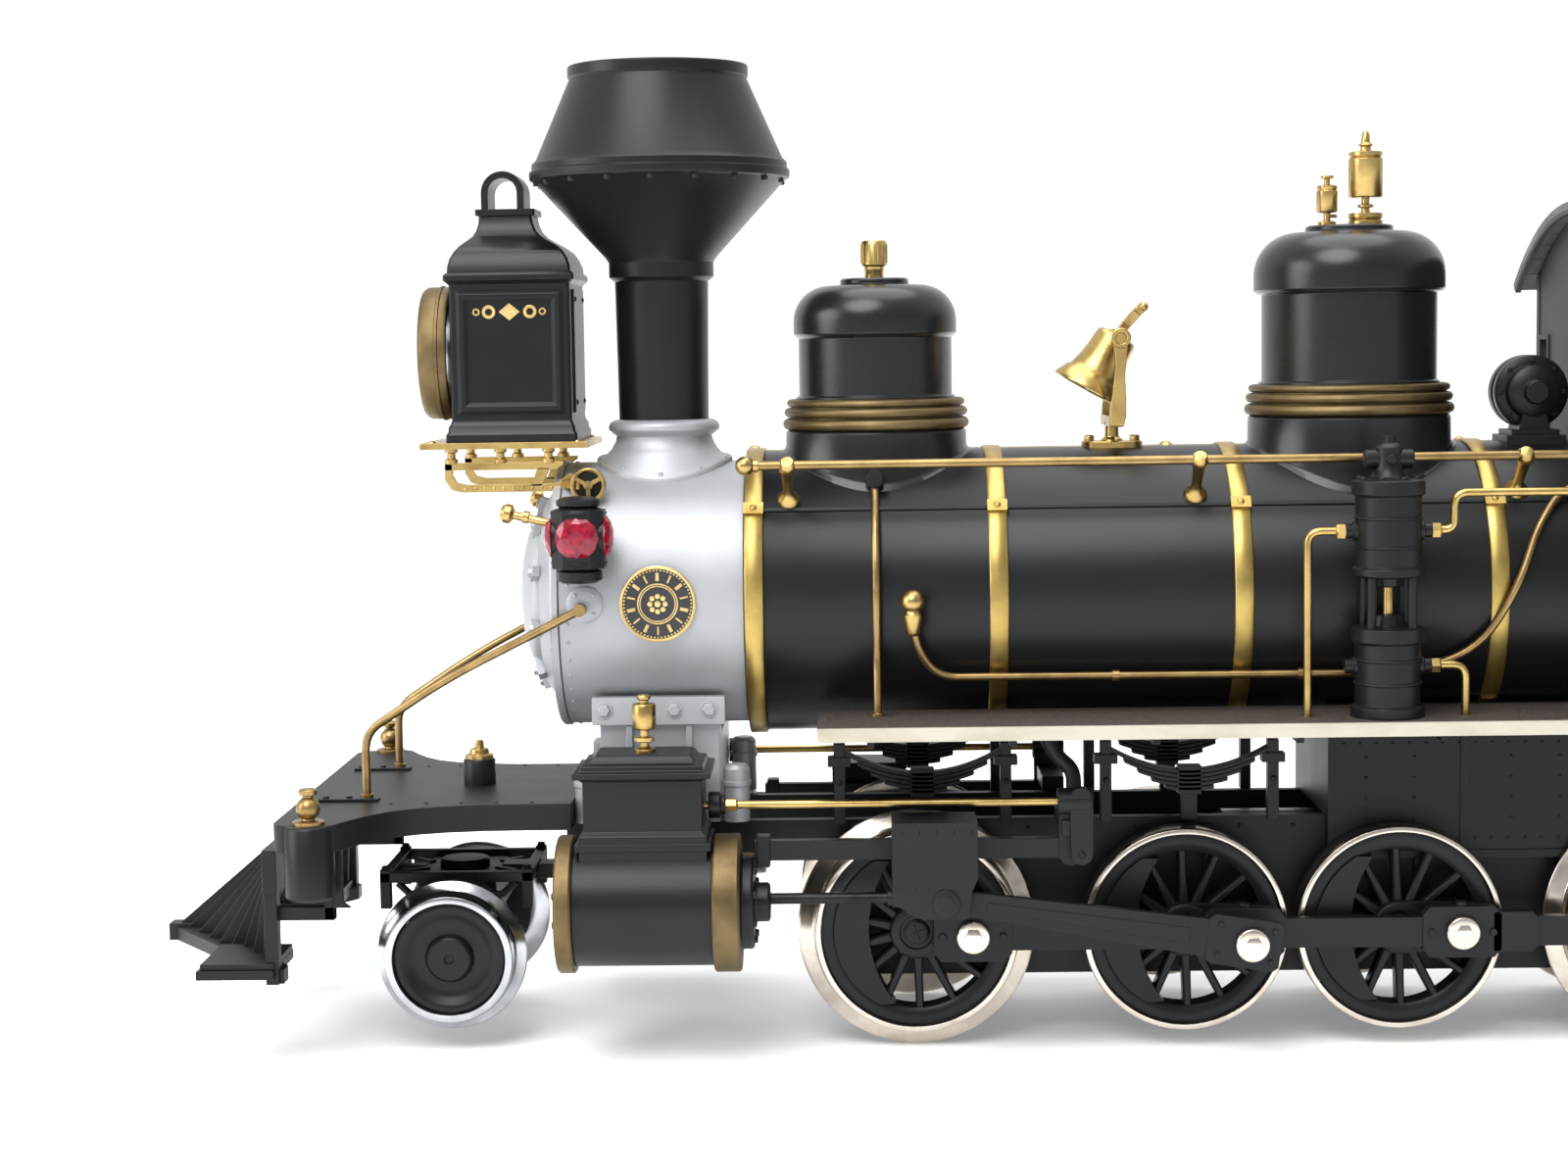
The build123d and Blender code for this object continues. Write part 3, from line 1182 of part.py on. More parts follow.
save("drawbar", drawbar())
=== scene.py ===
import math

import bmesh
import bpy
from mathutils import Matrix, Vector


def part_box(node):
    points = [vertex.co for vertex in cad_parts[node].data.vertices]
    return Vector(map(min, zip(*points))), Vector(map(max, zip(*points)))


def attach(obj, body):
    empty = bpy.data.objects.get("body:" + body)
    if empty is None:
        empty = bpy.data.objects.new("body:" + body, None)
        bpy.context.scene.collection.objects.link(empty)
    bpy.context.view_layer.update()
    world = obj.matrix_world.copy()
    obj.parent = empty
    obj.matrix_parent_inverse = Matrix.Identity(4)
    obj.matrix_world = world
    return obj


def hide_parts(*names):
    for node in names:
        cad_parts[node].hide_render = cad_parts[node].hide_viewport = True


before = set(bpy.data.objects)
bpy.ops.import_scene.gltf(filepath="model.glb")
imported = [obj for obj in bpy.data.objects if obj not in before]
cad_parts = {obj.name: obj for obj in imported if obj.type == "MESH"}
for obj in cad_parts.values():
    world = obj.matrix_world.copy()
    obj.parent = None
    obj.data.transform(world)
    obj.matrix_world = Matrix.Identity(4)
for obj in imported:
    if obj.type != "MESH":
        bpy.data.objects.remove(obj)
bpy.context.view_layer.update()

# Lengths in this script are millimetres in the row frame until a piece is finished.
MM = 0.001
ORIGIN = Vector((0, 0, 0))


def box_mm(node):
    """Lowest and highest corner of a CAD node, in millimetres."""
    low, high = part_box(node)
    return low / MM, high / MM


# ---- driving places, read from the frame ----------------------------------------------------------

barrel_low, barrel_high = box_mm("boiler_barrel")
BOILER_R = (barrel_high.y - barrel_low.y) / 2
BOILER_Z = (barrel_high.z + barrel_low.z) / 2
smoke_low, smoke_high = box_mm("smokebox")
SMOKE_R = (smoke_high.y - smoke_low.y) / 2
stack_low, stack_high = box_mm("smokestack")
STACK_X = (stack_low.x + stack_high.x) / 2
sand_low, sand_high = box_mm("sand_dome")
SAND_X = (sand_low.x + sand_high.x) / 2
steam_low, steam_high = box_mm("steam_dome")
STEAM_X = (steam_low.x + steam_high.x) / 2
DRIVER_XS = []
for number in range(1, 5):
    low, high = box_mm(f"driver_{number}_tyres")
    DRIVER_XS.append((low.x + high.x) / 2)
AXLE_Z = (low.z + high.z) / 2
truck_low, truck_high = box_mm("pilot_wheels")
TRUCK_X = (truck_low.x + truck_high.x) / 2
TRUCK_PIVOT_X = -84.0
PILOT_Z = (truck_low.z + truck_high.z) / 2
cab_low, cab_high = box_mm("cab_walls")
roof_low, roof_high = box_mm("cab_roof")
board_low, board_high = box_mm("running_boards")

TYRE_BACK = 20.0
BAND_XS = (-60.3, -12.6, 34.8, 84.0)
CRANK = 10.8
CRANK_ANGLE = {-1: 2.0, 1: 92.0}
SIDE_ROD = (29.6, 32.6)
MAIN_ROD = (39.2, 41.6)
MAIN_LENGTH = 59.0
WRIST_Z = 32.9
CYL_Y = 37.5
CYL_Z = 32.3


# ---- materials -----------------------------------------------------------------------------------


class Nodes:
    """A material's node tree with short calls for the few node kinds used here."""

    def __init__(self, name):
        self.material = bpy.data.materials.new(name)
        self.material.use_nodes = True
        self.tree = self.material.node_tree
        self.shader = self.tree.nodes["Principled BSDF"]
        self.where = self.tree.nodes.new("ShaderNodeTexCoord").outputs["Object"]

    def link(self, a, b):
        self.tree.links.new(a, b)

    def set(self, **values):
        for key, value in values.items():
            self.shader.inputs[key.replace("_", " ")].default_value = value

    def noise(self, scale, detail=3.0, stretch=(1, 1, 1), rough=0.55):
        place = self.tree.nodes.new("ShaderNodeMapping")
        place.inputs["Scale"].default_value = stretch
        self.link(self.where, place.inputs["Vector"])
        node = self.tree.nodes.new("ShaderNodeTexNoise")
        node.inputs["Scale"].default_value = scale
        node.inputs["Detail"].default_value = detail
        node.inputs["Roughness"].default_value = rough
        self.link(place.outputs["Vector"], node.inputs["Vector"])
        return node.outputs["Fac"]

    def ramp(self, factor, *stops):
        node = self.tree.nodes.new("ShaderNodeValToRGB")
        ramp = node.color_ramp
        while len(ramp.elements) < len(stops):
            ramp.elements.new(0.5)
        for element, (place, colour) in zip(ramp.elements, stops):
            element.position = place
            element.color = (*colour, 1) if len(colour) == 3 else colour
        self.link(factor, node.inputs["Fac"])
        return node.outputs["Color"]

    def spread(self, factor, low, high):
        node = self.tree.nodes.new("ShaderNodeMapRange")
        node.inputs["To Min"].default_value = low
        node.inputs["To Max"].default_value = high
        self.link(factor, node.inputs["Value"])
        return node.outputs["Result"]

    def bump(self, height, strength, distance):
        node = self.tree.nodes.new("ShaderNodeBump")
        node.inputs["Strength"].default_value = strength
        node.inputs["Distance"].default_value = distance * MM
        self.link(height, node.inputs["Height"])
        self.link(node.outputs["Normal"], self.shader.inputs["Normal"])

    def colour(self, socket):
        self.link(socket, self.shader.inputs["Base Color"])

    def roughness(self, socket):
        self.link(socket, self.shader.inputs["Roughness"])


def painted(name, dark, light, rough, grain, coat=0.0):
    """Satin paint over a moulding: fine orange peel, faint dusty patches, uneven sheen."""
    n = Nodes(name)
    patches = n.noise(45, 4)
    peel = n.noise(grain, 2)
    n.colour(n.ramp(patches, (0.3, dark), (0.75, light)))
    n.roughness(n.spread(n.noise(90, 3), rough - 0.04, rough + 0.05))
    n.bump(peel, 0.12, 0.03)
    n.set(Coat_Weight=coat, Coat_Roughness=0.25, Specular_IOR_Level=0.24)
    return n.material


def metal(name, bright, tarnish, rough, brushed=(1, 1, 1)):
    """Bare metal with uneven tarnish and fine machining marks."""
    n = Nodes(name)
    patches = n.noise(150, 6, rough=0.62)
    marks = n.noise(2600, 2, brushed)
    n.colour(n.ramp(patches, (0.42, bright), (0.72, tarnish)))
    n.roughness(n.spread(n.noise(220, 4), rough - 0.07, rough + 0.14))
    n.bump(marks, 0.12, 0.02)
    n.set(Metallic=1.0)
    return n.material


def silver_paint():
    n = Nodes("silver_paint")
    flakes = n.noise(5200, 1)
    clouds = n.noise(60, 3)
    n.colour(n.ramp(clouds, (0.3, (0.285, 0.294, 0.308)), (0.75, (0.345, 0.355, 0.37))))
    n.roughness(n.spread(flakes, 0.38, 0.52))
    n.bump(flakes, 0.15, 0.02)
    n.set(Metallic=0.35)
    return n.material


def cream_edge():
    n = Nodes("cream_edge")
    streaks = n.noise(130, 5, (0.35, 1, 1))
    n.colour(n.ramp(streaks, (0.42, (0.42, 0.395, 0.32)), (0.7, (0.31, 0.28, 0.20))))
    n.roughness(n.spread(streaks, 0.45, 0.62))
    n.bump(n.noise(900, 3), 0.2, 0.05)
    return n.material


def board_top():
    """Matt brown-black walkway with a fine rubbed tread."""
    n = Nodes("board_top")
    tread = n.noise(1400, 4)
    n.colour(n.ramp(tread, (0.35, (0.018, 0.014, 0.012)), (0.7, (0.060, 0.042, 0.032))))
    n.roughness(n.spread(tread, 0.6, 0.85))
    n.bump(tread, 0.6, 0.25)
    return n.material


def roof_boards():
    """Weathered slate-grey boards with grain along their length."""
    n = Nodes("roof_boards")
    grain = n.noise(420, 6, (1, 0.08, 0.4))
    n.colour(n.ramp(grain, (0.35, (0.055, 0.058, 0.062)), (0.7, (0.15, 0.155, 0.16))))
    n.roughness(n.spread(grain, 0.5, 0.75))
    n.bump(grain, 0.4, 0.15)
    return n.material


def jewel():
    n = Nodes("jewel_red")
    depth = n.noise(700, 2)
    n.colour(n.ramp(depth, (0.35, (0.10, 0.0, 0.008)), (0.7, (0.30, 0.003, 0.022))))
    n.roughness(n.spread(n.noise(1500), 0.03, 0.09))
    n.set(Coat_Weight=0.25, Coat_Roughness=0.02, Specular_IOR_Level=0.35)
    return n.material


def clear_glass():
    n = Nodes("lens_glass")
    haze = n.noise(300, 3)
    n.colour(n.ramp(haze, (0.3, (0.80, 0.84, 0.84)), (0.8, (0.93, 0.95, 0.95))))
    n.roughness(n.spread(haze, 0.02, 0.08))
    n.set(Transmission_Weight=0.9, IOR=1.45)
    return n.material


def floor_paper():
    n = Nodes("floor_paper")
    n.colour(n.ramp(n.noise(6, 2), (0.3, (0.93, 0.935, 0.945)), (0.7, (0.95, 0.955, 0.965))))
    n.set(Roughness=0.7, Emission_Color=(1, 1, 1, 1), Emission_Strength=0.2)
    return n.material


BLACK = painted("satin_black", (0.0036, 0.0041, 0.0049), (0.0066, 0.0073, 0.0086), 0.36, 1500)
BOILER_BLACK = painted("boiler_black", (0.0032, 0.0035, 0.004), (0.0056, 0.0061, 0.007), 0.34, 1100)
DOME_BLACK = painted("dome_black", (0.004, 0.0045, 0.0054), (0.0068, 0.0075, 0.0088), 0.27, 1300, 0.25)
FRAME_BLACK = painted("frame_black", (0.0042, 0.0046, 0.0052), (0.0082, 0.0087, 0.0096), 0.46, 1900)
ROD_BLACK = painted("rod_black", (0.0048, 0.0053, 0.0061), (0.0088, 0.0093, 0.0105), 0.42, 2000)
# Lamp-case black paint. The same material is also painted shade in the screw cross slots and in the pierced
# headlight bosses.
LAMP_BLACK_AND_SHADE = painted("lamp_black_and_shade", (0.003, 0.0033, 0.0038), (0.005, 0.0055, 0.0064), 0.36, 900, 0.08)
CAB_GREY = painted("cab_grey", (0.026, 0.028, 0.031), (0.045, 0.048, 0.052), 0.55, 1200)
GUIDE_STEEL = metal("guide_steel", (0.36, 0.35, 0.34), (0.18, 0.17, 0.165), 0.34, (0.1, 1, 1))
PISTON_STEEL = metal("piston_steel", (0.03, 0.03, 0.032), (0.015, 0.015, 0.016), 0.36, (0.1, 1, 1))
BRASS = metal("brass", (0.47, 0.335, 0.12), (0.30, 0.20, 0.07), 0.27)
BAND_BRASS = metal("band_brass", (0.43, 0.31, 0.095), (0.30, 0.205, 0.06), 0.34)
DULL_BRASS = metal("dull_brass", (0.155, 0.112, 0.054), (0.092, 0.064, 0.030), 0.46)
PIPE_BRASS = metal("pipe_brass", (0.31, 0.21, 0.085), (0.17, 0.11, 0.045), 0.33)
NICKEL = metal("nickel", (0.66, 0.60, 0.52), (0.48, 0.42, 0.35), 0.17, (1, 0.15, 1))
CHROME = metal("chrome", (0.43, 0.445, 0.46), (0.31, 0.32, 0.335), 0.12, (1, 0.15, 1))
LEAD = metal("cast_weight", (0.22, 0.22, 0.23), (0.13, 0.13, 0.14), 0.6)
SILVER = silver_paint()
CREAM = cream_edge()
BOARD = board_top()
ROOF = roof_boards()
RED = jewel()
GLASS = clear_glass()
PLATE_BLUE = painted("plate_enamel", (0.008, 0.010, 0.014), (0.014, 0.017, 0.022), 0.3, 1500, 0.5)
GOLD = metal("gilt_line", (0.66, 0.48, 0.20), (0.46, 0.31, 0.12), 0.4)


# ---- mesh helpers --------------------------------------------------------------------------------


def frame_of(direction):
    """Two unit vectors square to a direction."""
    direction = Vector(direction).normalized()
    other = Vector((0, 0, 1)) if abs(direction.z) < 0.9 else Vector((1, 0, 0))
    first = direction.cross(other).normalized()
    return first, direction.cross(first).normalized()


def arc(radius, start, end, steps, centre=(0, 0)):
    """Points of an arc in a plane, angles in degrees."""
    points = []
    for step in range(steps + 1):
        angle = math.radians(start + (end - start) * step / steps)
        points.append((centre[0] + radius * math.cos(angle), centre[1] + radius * math.sin(angle)))
    return points


def rounded_path(points, bend, steps=6):
    """A route with its corners rounded to arcs."""
    points = [Vector(p) for p in points]
    path = [points[0]]
    for before, corner, after in zip(points, points[1:], points[2:]):
        to_before, to_after = (before - corner), (after - corner)
        reach = min(bend, to_before.length * 0.48, to_after.length * 0.48)
        start, end = corner + to_before.normalized() * reach, corner + to_after.normalized() * reach
        for step in range(steps + 1):
            t = step / steps
            path.append(start * (1 - t) ** 2 + corner * 2 * t * (1 - t) + end * t**2)
    return path + [points[-1]]


def span(side, a, b):
    """Two distances from the middle as lowest and highest Y on the given side."""
    return min(side * a, side * b), max(side * a, side * b)


class Piece:
    """One visible piece built from closed shells in millimetres, finished as one mesh."""

    def __init__(self, name):
        self.name = name
        self.bm = bmesh.new()
        self.materials = []

    def _index(self, material):
        if material not in self.materials:
            self.materials.append(material)
        return self.materials.index(material)

    def shell(self, points, faces, material):
        verts = [self.bm.verts.new(p) for p in points]
        slot = self._index(material)
        for face in faces:
            made = self.bm.faces.new([verts[i] for i in face])
            made.material_index = slot
        return verts

    def rings(self, rings, material, close_ends=True):
        """Skins a list of rings with the same number of points each."""
        count = len(rings[0])
        points = [p for ring in rings for p in ring]
        faces = []
        for r in range(len(rings) - 1):
            for k in range(count):
                a, b = r * count + k, r * count + (k + 1) % count
                faces.append((a, b, b + count, a + count))
        if close_ends:
            faces.append(tuple(reversed(range(count))))
            faces.append(tuple(range((len(rings) - 1) * count, len(rings) * count)))
        return self.shell(points, faces, material)

    def turn(self, profile, material, at=ORIGIN, axis=(0, 0, 1), steps=64):
        """Turns (radius, height) points about an axis through a place."""
        axis = Vector(axis).normalized()
        first, second = frame_of(axis)
        rings = []
        for radius, height in profile:
            radius = max(radius, 0.002)
            ring = []
            for k in range(steps):
                angle = 2 * math.pi * k / steps
                out = first * math.cos(angle) + second * math.sin(angle)
                ring.append(Vector(at) + axis * height + out * radius)
            rings.append(ring)
        return self.rings(rings, material)

    def hoop(self, profile, material, at=ORIGIN, axis=(0, 0, 1), steps=96):
        """Turns a closed profile into a ring with an open middle."""
        axis = Vector(axis).normalized()
        first, second = frame_of(axis)
        closed = list(profile) + [profile[0]]
        rings = []
        for radius, height in closed:
            ring = []
            for k in range(steps):
                angle = 2 * math.pi * k / steps
                out = first * math.cos(angle) + second * math.sin(angle)
                ring.append(Vector(at) + axis * height + out * radius)
            rings.append(ring)
        return self.rings(rings, material, close_ends=False)

    def rod(self, start, end, radius, material, steps=20):
        start, end = Vector(start), Vector(end)
        length = (end - start).length
        return self.turn([(radius, 0), (radius, length)], material, start, end - start, steps)

    def tube(self, path, radius, material, steps=14):
        """A round tube along a smooth list of points."""
        path = [Vector(p) for p in path]
        tangent = (path[1] - path[0]).normalized()
        across, _ = frame_of(tangent)
        rings = []
        for k, point in enumerate(path):
            ahead = path[min(k + 1, len(path) - 1)] - path[max(k - 1, 0)]
            tangent = ahead.normalized()
            across = (across - tangent * across.dot(tangent)).normalized()
            up = tangent.cross(across)
            ring = []
            for s in range(steps):
                angle = 2 * math.pi * s / steps
                ring.append(point + (across * math.cos(angle) + up * math.sin(angle)) * radius)
            rings.append(ring)
        return self.rings(rings, material)

    def ball(self, centre, radius, material, steps=24):
        profile = [
            (radius * math.cos(math.radians(a)), radius * math.sin(math.radians(a)))
            for a in range(-90, 91, 12)
        ]
        return self.turn(profile, material, centre, (0, 0, 1), steps)

    def block(self, low, high, material):
        corners = []
        for x in (low[0], high[0]):
            for y in (low[1], high[1]):
                for z in (low[2], high[2]):
                    corners.append(Vector((x, y, z)))
        faces = [(0, 1, 3, 2), (4, 6, 7, 5), (0, 4, 5, 1), (2, 3, 7, 6), (0, 2, 6, 4), (1, 5, 7, 3)]
        return self.shell(corners, faces, material)

    def side_block(self, side, across, reach, up, material):
        """A block on one side of the engine; reach is its nearest and furthest distance from the middle."""
        near, far = span(side, *reach)
        return self.block((across[0], near, up[0]), (across[1], far, up[1]), material)

    def plate(self, outline, across, material, plane="XZ", turn=None):
        """An outline pulled straight between two distances along the plane's normal."""
        rings = []
        for depth in across:
            ring = []
            for a, b in outline:
                point = {"XZ": (a, depth, b), "XY": (a, b, depth), "YZ": (depth, a, b)}[plane]
                ring.append(turn @ Vector(point) if turn is not None else Vector(point))
            rings.append(ring)
        return self.rings(rings, material)

    def bar(self, start, end, width, depth, material, side=(0, 1, 0)):
        """A straight rectangular bar, width along the side direction."""
        start, end = Vector(start), Vector(end)
        along = (end - start).normalized()
        wide = (Vector(side) - along * along.dot(Vector(side))).normalized()
        deep = along.cross(wide)
        rings = []
        for point in (start, end):
            ring = []
            for a, b in ((-1, -1), (1, -1), (1, 1), (-1, 1)):
                ring.append(point + wide * width / 2 * a + deep * depth / 2 * b)
            rings.append(ring)
        return self.rings(rings, material)

    def rivet(self, at, out, radius, material):
        profile = [
            (radius, -0.2), (radius, 0.1), (radius * 0.82, radius * 0.42), (radius * 0.4, radius * 0.62),
            (0, radius * 0.66)
        ]
        return self.turn(profile, material, at, out, 12)

    def hex_bolt(self, at, out, radius, height, material):
        profile = [(radius, -0.3), (radius, height * 0.75), (radius * 0.86, height), (0, height)]
        return self.turn(profile, material, at, out, 6)

    def finish(self, body, *replaced, bevel=0.12, angle=32, slot=None):
        bmesh.ops.recalc_face_normals(self.bm, faces=self.bm.faces)
        bmesh.ops.scale(self.bm, vec=(MM, MM, MM), verts=self.bm.verts)
        mesh = bpy.data.meshes.new(self.name)
        self.bm.to_mesh(mesh)
        self.bm.free()
        for material in self.materials:
            mesh.materials.append(material)
        for polygon in mesh.polygons:
            polygon.use_smooth = True
        mesh.set_sharp_from_angle(angle=math.radians(angle))
        piece = bpy.data.objects.new(self.name, mesh)
        bpy.context.scene.collection.objects.link(piece)
        if bevel:
            edge = piece.modifiers.new("edges", "BEVEL")
            edge.width = bevel * MM
            edge.segments = 2
            edge.limit_method = "ANGLE"
            edge.angle_limit = math.radians(angle)
            edge.use_clamp_overlap = True
            edge.harden_normals = True
        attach(piece, body)
        if replaced:
            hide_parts(*replaced)
        return piece


def on_drum(piece, x, profile, material, drum_r, steps=96):
    """Turns (radius, height, share) points about an upright axis over a drum that lies along X.
    Where share is 1 the height counts from the drum's surface, and where it is 0 from the row's floor."""
    rings = []
    for radius, height, share in profile:
        ring = []
        for k in range(steps):
            angle = 2 * math.pi * k / steps
            y = radius * math.sin(angle)
            surface = BOILER_Z + math.sqrt(max(drum_r**2 - y * y, 0))
            z = height * (1 - share) + (surface + height) * share if share else height
            ring.append(Vector((x + radius * math.cos(angle), y, z)))
        rings.append(ring)
    return piece.rings(rings, material)


def boiler_point(x, angle, radius):
    """A place around the boiler: angle 0 is the left side, 90 the top, in degrees."""
    a = math.radians(angle)
    return Vector((x, -radius * math.cos(a), BOILER_Z + radius * math.sin(a)))


def boiler_out(angle):
    a = math.radians(angle)
    return Vector((0, -math.cos(a), math.sin(a)))


# ---- stack and domes -----------------------------------------------------------------------------


def smokestack():
    p = Piece("diamond_stack")
    outer = [
        (7.6, 124.6), (9.1, 124.6), (9.2, 135.0), (9.45, 152.4), (9.9, 152.7), (10.6, 153.3),
        (10.6, 156.2),
        (11.3, 157.3), (25.3, 172.5), (26.2, 172.9), (26.3, 173.4), (26.3, 174.5), (25.8, 174.8),
        (25.8, 176.0),
        (24.9, 176.9), (17.9, 192.9), (18.2, 193.3), (18.2, 195.2), (18.0, 195.5),
    ]
    inner = [
        (17.0, 195.5), (16.8, 193.2), (23.6, 177.0), (23.6, 174.6), (10.2, 160.2), (7.9, 156.0),
        (7.5, 128.0), (7.6, 124.6)
    ]
    p.hoop(outer + inner[:-1], BLACK, (STACK_X, 0, 0))
    p.turn([(0, 127.2), (7.6, 127.2), (7.6, 127.8), (0, 127.8)], BLACK, (STACK_X, 0, 0))
    for bolt in range(18):
        a = 2 * math.pi * (bolt + 0.5) / 18
        place = Vector((STACK_X + 24.9 * math.cos(a), 24.9 * math.sin(a), 172.6))
        p.hex_bolt(place, (0, 0, -1), 0.75, 0.9, BLACK)
        p.rivet(place + Vector((0.3 * math.cos(a), 0.3 * math.sin(a), 2.2)), (0, 0, 1), 0.5, BLACK)
    p.finish("chassis", "smokestack", bevel=0.15, angle=24)


def stack_base():
    p = Piece("stack_saddle")
    profile = [
        (13.8, -0.4, 1), (13.8, 0.7, 1), (13.5, 1.1, 1), (12.8, 1.5, 1), (11.8, 117.6, 0),
        (10.8, 118.6, 0),
        (9.9, 120.2, 0), (9.7, 121.3, 0), (10.4, 121.8, 0), (11.2, 122.5, 0), (11.3, 123.2, 0),
        (10.9, 124.0, 0), (10.0, 124.5, 0), (9.0, 124.6, 0),
    ]
    on_drum(p, STACK_X, profile, SILVER, SMOKE_R)
    for k in range(10):
        a = 2 * math.pi * (k + 0.5) / 10
        y = 12.9 * math.sin(a)
        surface = BOILER_Z + math.sqrt(SMOKE_R**2 - y * y)
        out = Vector((0, y, surface - BOILER_Z)).normalized()
        p.rivet((STACK_X + 12.9 * math.cos(a), y, surface + 1.2), out, 0.6, SILVER)
    p.finish("chassis", "stack_base", bevel=0.1, angle=40)


def dome(name, node, x, body_r, cap_r, foot_r, levels, disc_r):
    """A dome casting: flared foot lying on the boiler, drum, body, rounded cap and top disc."""
    foot_z, ring_z, cap_z, top_z, disc_z = levels
    p = Piece(name)
    foot = [
        (foot_r + 1.2, -0.3, 1), (foot_r + 1.1, 0.1, 1), (foot_r + 0.4, 0.35, 1), (foot_r + 0.05, 0.9, 1),
        (foot_r, foot_z - 0.5, 0), (foot_r - 0.4, foot_z, 0), (body_r + 0.6, foot_z, 0),
    ]
    on_drum(p, x, foot, DOME_BLACK, BOILER_R, 128)
    bend = (top_z - cap_z) * 0.72
    shoulder = [
        (cap_r - bend + bend * math.cos(math.radians(a)), top_z - bend + bend * math.sin(math.radians(a)))
        for a in range(0, 91, 9)
    ]
    body = [
        (body_r + 0.6, foot_z - 1), (body_r + 0.6, ring_z), (body_r, ring_z + 0.3), (body_r, cap_z - 0.6),
        (cap_r - 0.5, cap_z - 0.3), (cap_r, cap_z + 0.3)
    ]
    cap = [
        (disc_r + 0.9, top_z), (disc_r, top_z + 0.25), (disc_r, disc_z - 0.35), (disc_r - 0.4, disc_z),
        (0, disc_z)
    ]
    p.turn(body + shoulder + cap, DOME_BLACK, (x, 0, 0), steps=128)
    p.finish("chassis", node, bevel=0.12, angle=34)


def dome_rings(p, x, outer, z):
    """Stacked half-round brass beads around a dome's drum."""
    beads = ((z + 1.2, 1.15, outer - 1.15), (z + 3.5, 0.95, outer - 1.25), (z + 5.4, 0.75, outer - 1.6))
    for height, r, wide in beads:
        p.hoop([(wide + a, height + b) for a, b in arc(r, 0, 330, 11)], DULL_BRASS, (x, 0, 0), steps=112)
    p.hoop(
        [(outer - 3.0, z + 0.2), (outer - 1.5, z + 0.2), (outer - 1.7, z + 6.2), (outer - 3.0, z + 6.2)],
        DULL_BRASS, (x, 0, 0)
    )


def boiler_bands():
    p = Piece("boiler_bands_brass")
    for x in BAND_XS:
        section = [
            (28.4, -1.8), (28.85, -1.8), (29.08, -1.55), (29.1, 0), (29.08, 1.55), (28.85, 1.8),
            (28.4, 1.8)
        ]
        p.hoop(section, BAND_BRASS, (x, 0, BOILER_Z), (1, 0, 0), 128)
        for angle in (38, 142):
            middle = boiler_point(x, angle, 29.3)
            along = boiler_out(angle + 90)
            p.bar(middle - along * 1.3, middle + along * 1.3, 3.9, 0.9, BAND_BRASS, (1, 0, 0))
            p.rivet(boiler_point(x, angle, 29.7), boiler_out(angle), 0.7, BAND_BRASS)
    dome_rings(p, SAND_X, 18.9, 122.0)
    dome_rings(p, STEAM_X, 20.9, 123.6)
    p.finish("chassis", "boiler_bands", bevel=0, angle=45)


def dome_fittings():
    """Sand cap, whistle and safety valve, each turned from brass bar."""
    p = Piece("dome_fittings_brass")
    knob = [
        (0, 0), (1.9, 0), (1.9, 1.5), (2.05, 1.7), (2.05, 2.4), (2.6, 2.7), (2.6, 7.2), (2.3, 7.6),
        (0, 7.6)
    ]
    p.turn(knob, BRASS, (SAND_X, 0, sand_high.z - 0.05), steps=32)
    for k in range(20):
        a = 2 * math.pi * k / 20
        foot = Vector((SAND_X + 2.6 * math.cos(a), 2.6 * math.sin(a), sand_high.z + 3.1))
        p.rod(foot, foot + Vector((0, 0, 3.7)), 0.16, BRASS, 6)
    top = steam_high.z
    whistle = [
        (0, 0), (1.8, 0), (1.8, 0.8), (0.7, 1.1), (0.7, 2.5), (1.9, 2.7), (2.1, 3.0), (2.1, 6.9),
        (1.9, 7.1),
        (2.0, 7.3), (2.0, 8.0), (0.6, 8.3), (0.6, 9.3), (1.3, 9.5), (1.3, 10.0), (0, 10.0),
    ]
    p.turn(whistle, BRASS, (55.4, 0, top - 0.05), steps=32)
    p.rod((55.4, 0, top + 1.9), (57.4, 0, top + 1.9), 0.35, BRASS, 10)
    safety = [
        (0, 0), (3.4, 0), (3.4, 0.9), (3.0, 1.2), (3.4, 1.5), (3.4, 2.4), (0.9, 2.6), (0.8, 3.4),
        (1.6, 3.6), (1.6, 4.1),
        (0.8, 4.3), (0.8, 5.4), (3.2, 5.5), (3.4, 5.8), (3.4, 13.2), (3.0, 13.5), (3.3, 13.8),
        (3.3, 14.6), (1.1, 14.9),
        (1.0, 15.6), (1.5, 16.0), (0.9, 16.5), (0.75, 18.2), (0.3, 18.9), (0, 19.0),
    ]
    p.turn(safety, BRASS, (63.1, 0, top - 0.05), steps=40)
    p.finish("chassis", "dome_fittings", bevel=0.06, angle=40)


# ---- boiler and smokebox --------------------------------------------------------------------------


def boiler():
    p = Piece("boiler_jacket")
    profile = [
        (26.2, 0), (28.3, 0), (28.5, 0.3), (28.5, barrel_high.x - barrel_low.x),
        (0, barrel_high.x - barrel_low.x)
    ]
    p.turn([(26.2, 1.0)] + profile, BOILER_BLACK, (barrel_low.x, 0, BOILER_Z), (1, 0, 0), 160)
    for angle in (38.4, 141.6):
        for low, high in zip(
            (-62.2, -58.4, -10.7, 36.7, 85.9), (-62.2, -14.5, 32.9, 82.1, barrel_high.x)
        ):
            if high - low > 1:
                middle = boiler_point(0, angle, 28.55)
                p.bar(
                    (low, middle.y, middle.z), (high, middle.y, middle.z), 0.9, 0.55, BOILER_BLACK,
                    boiler_out(angle + 90)
                )
    p.finish("chassis", "boiler_barrel", bevel=0.12, angle=40)


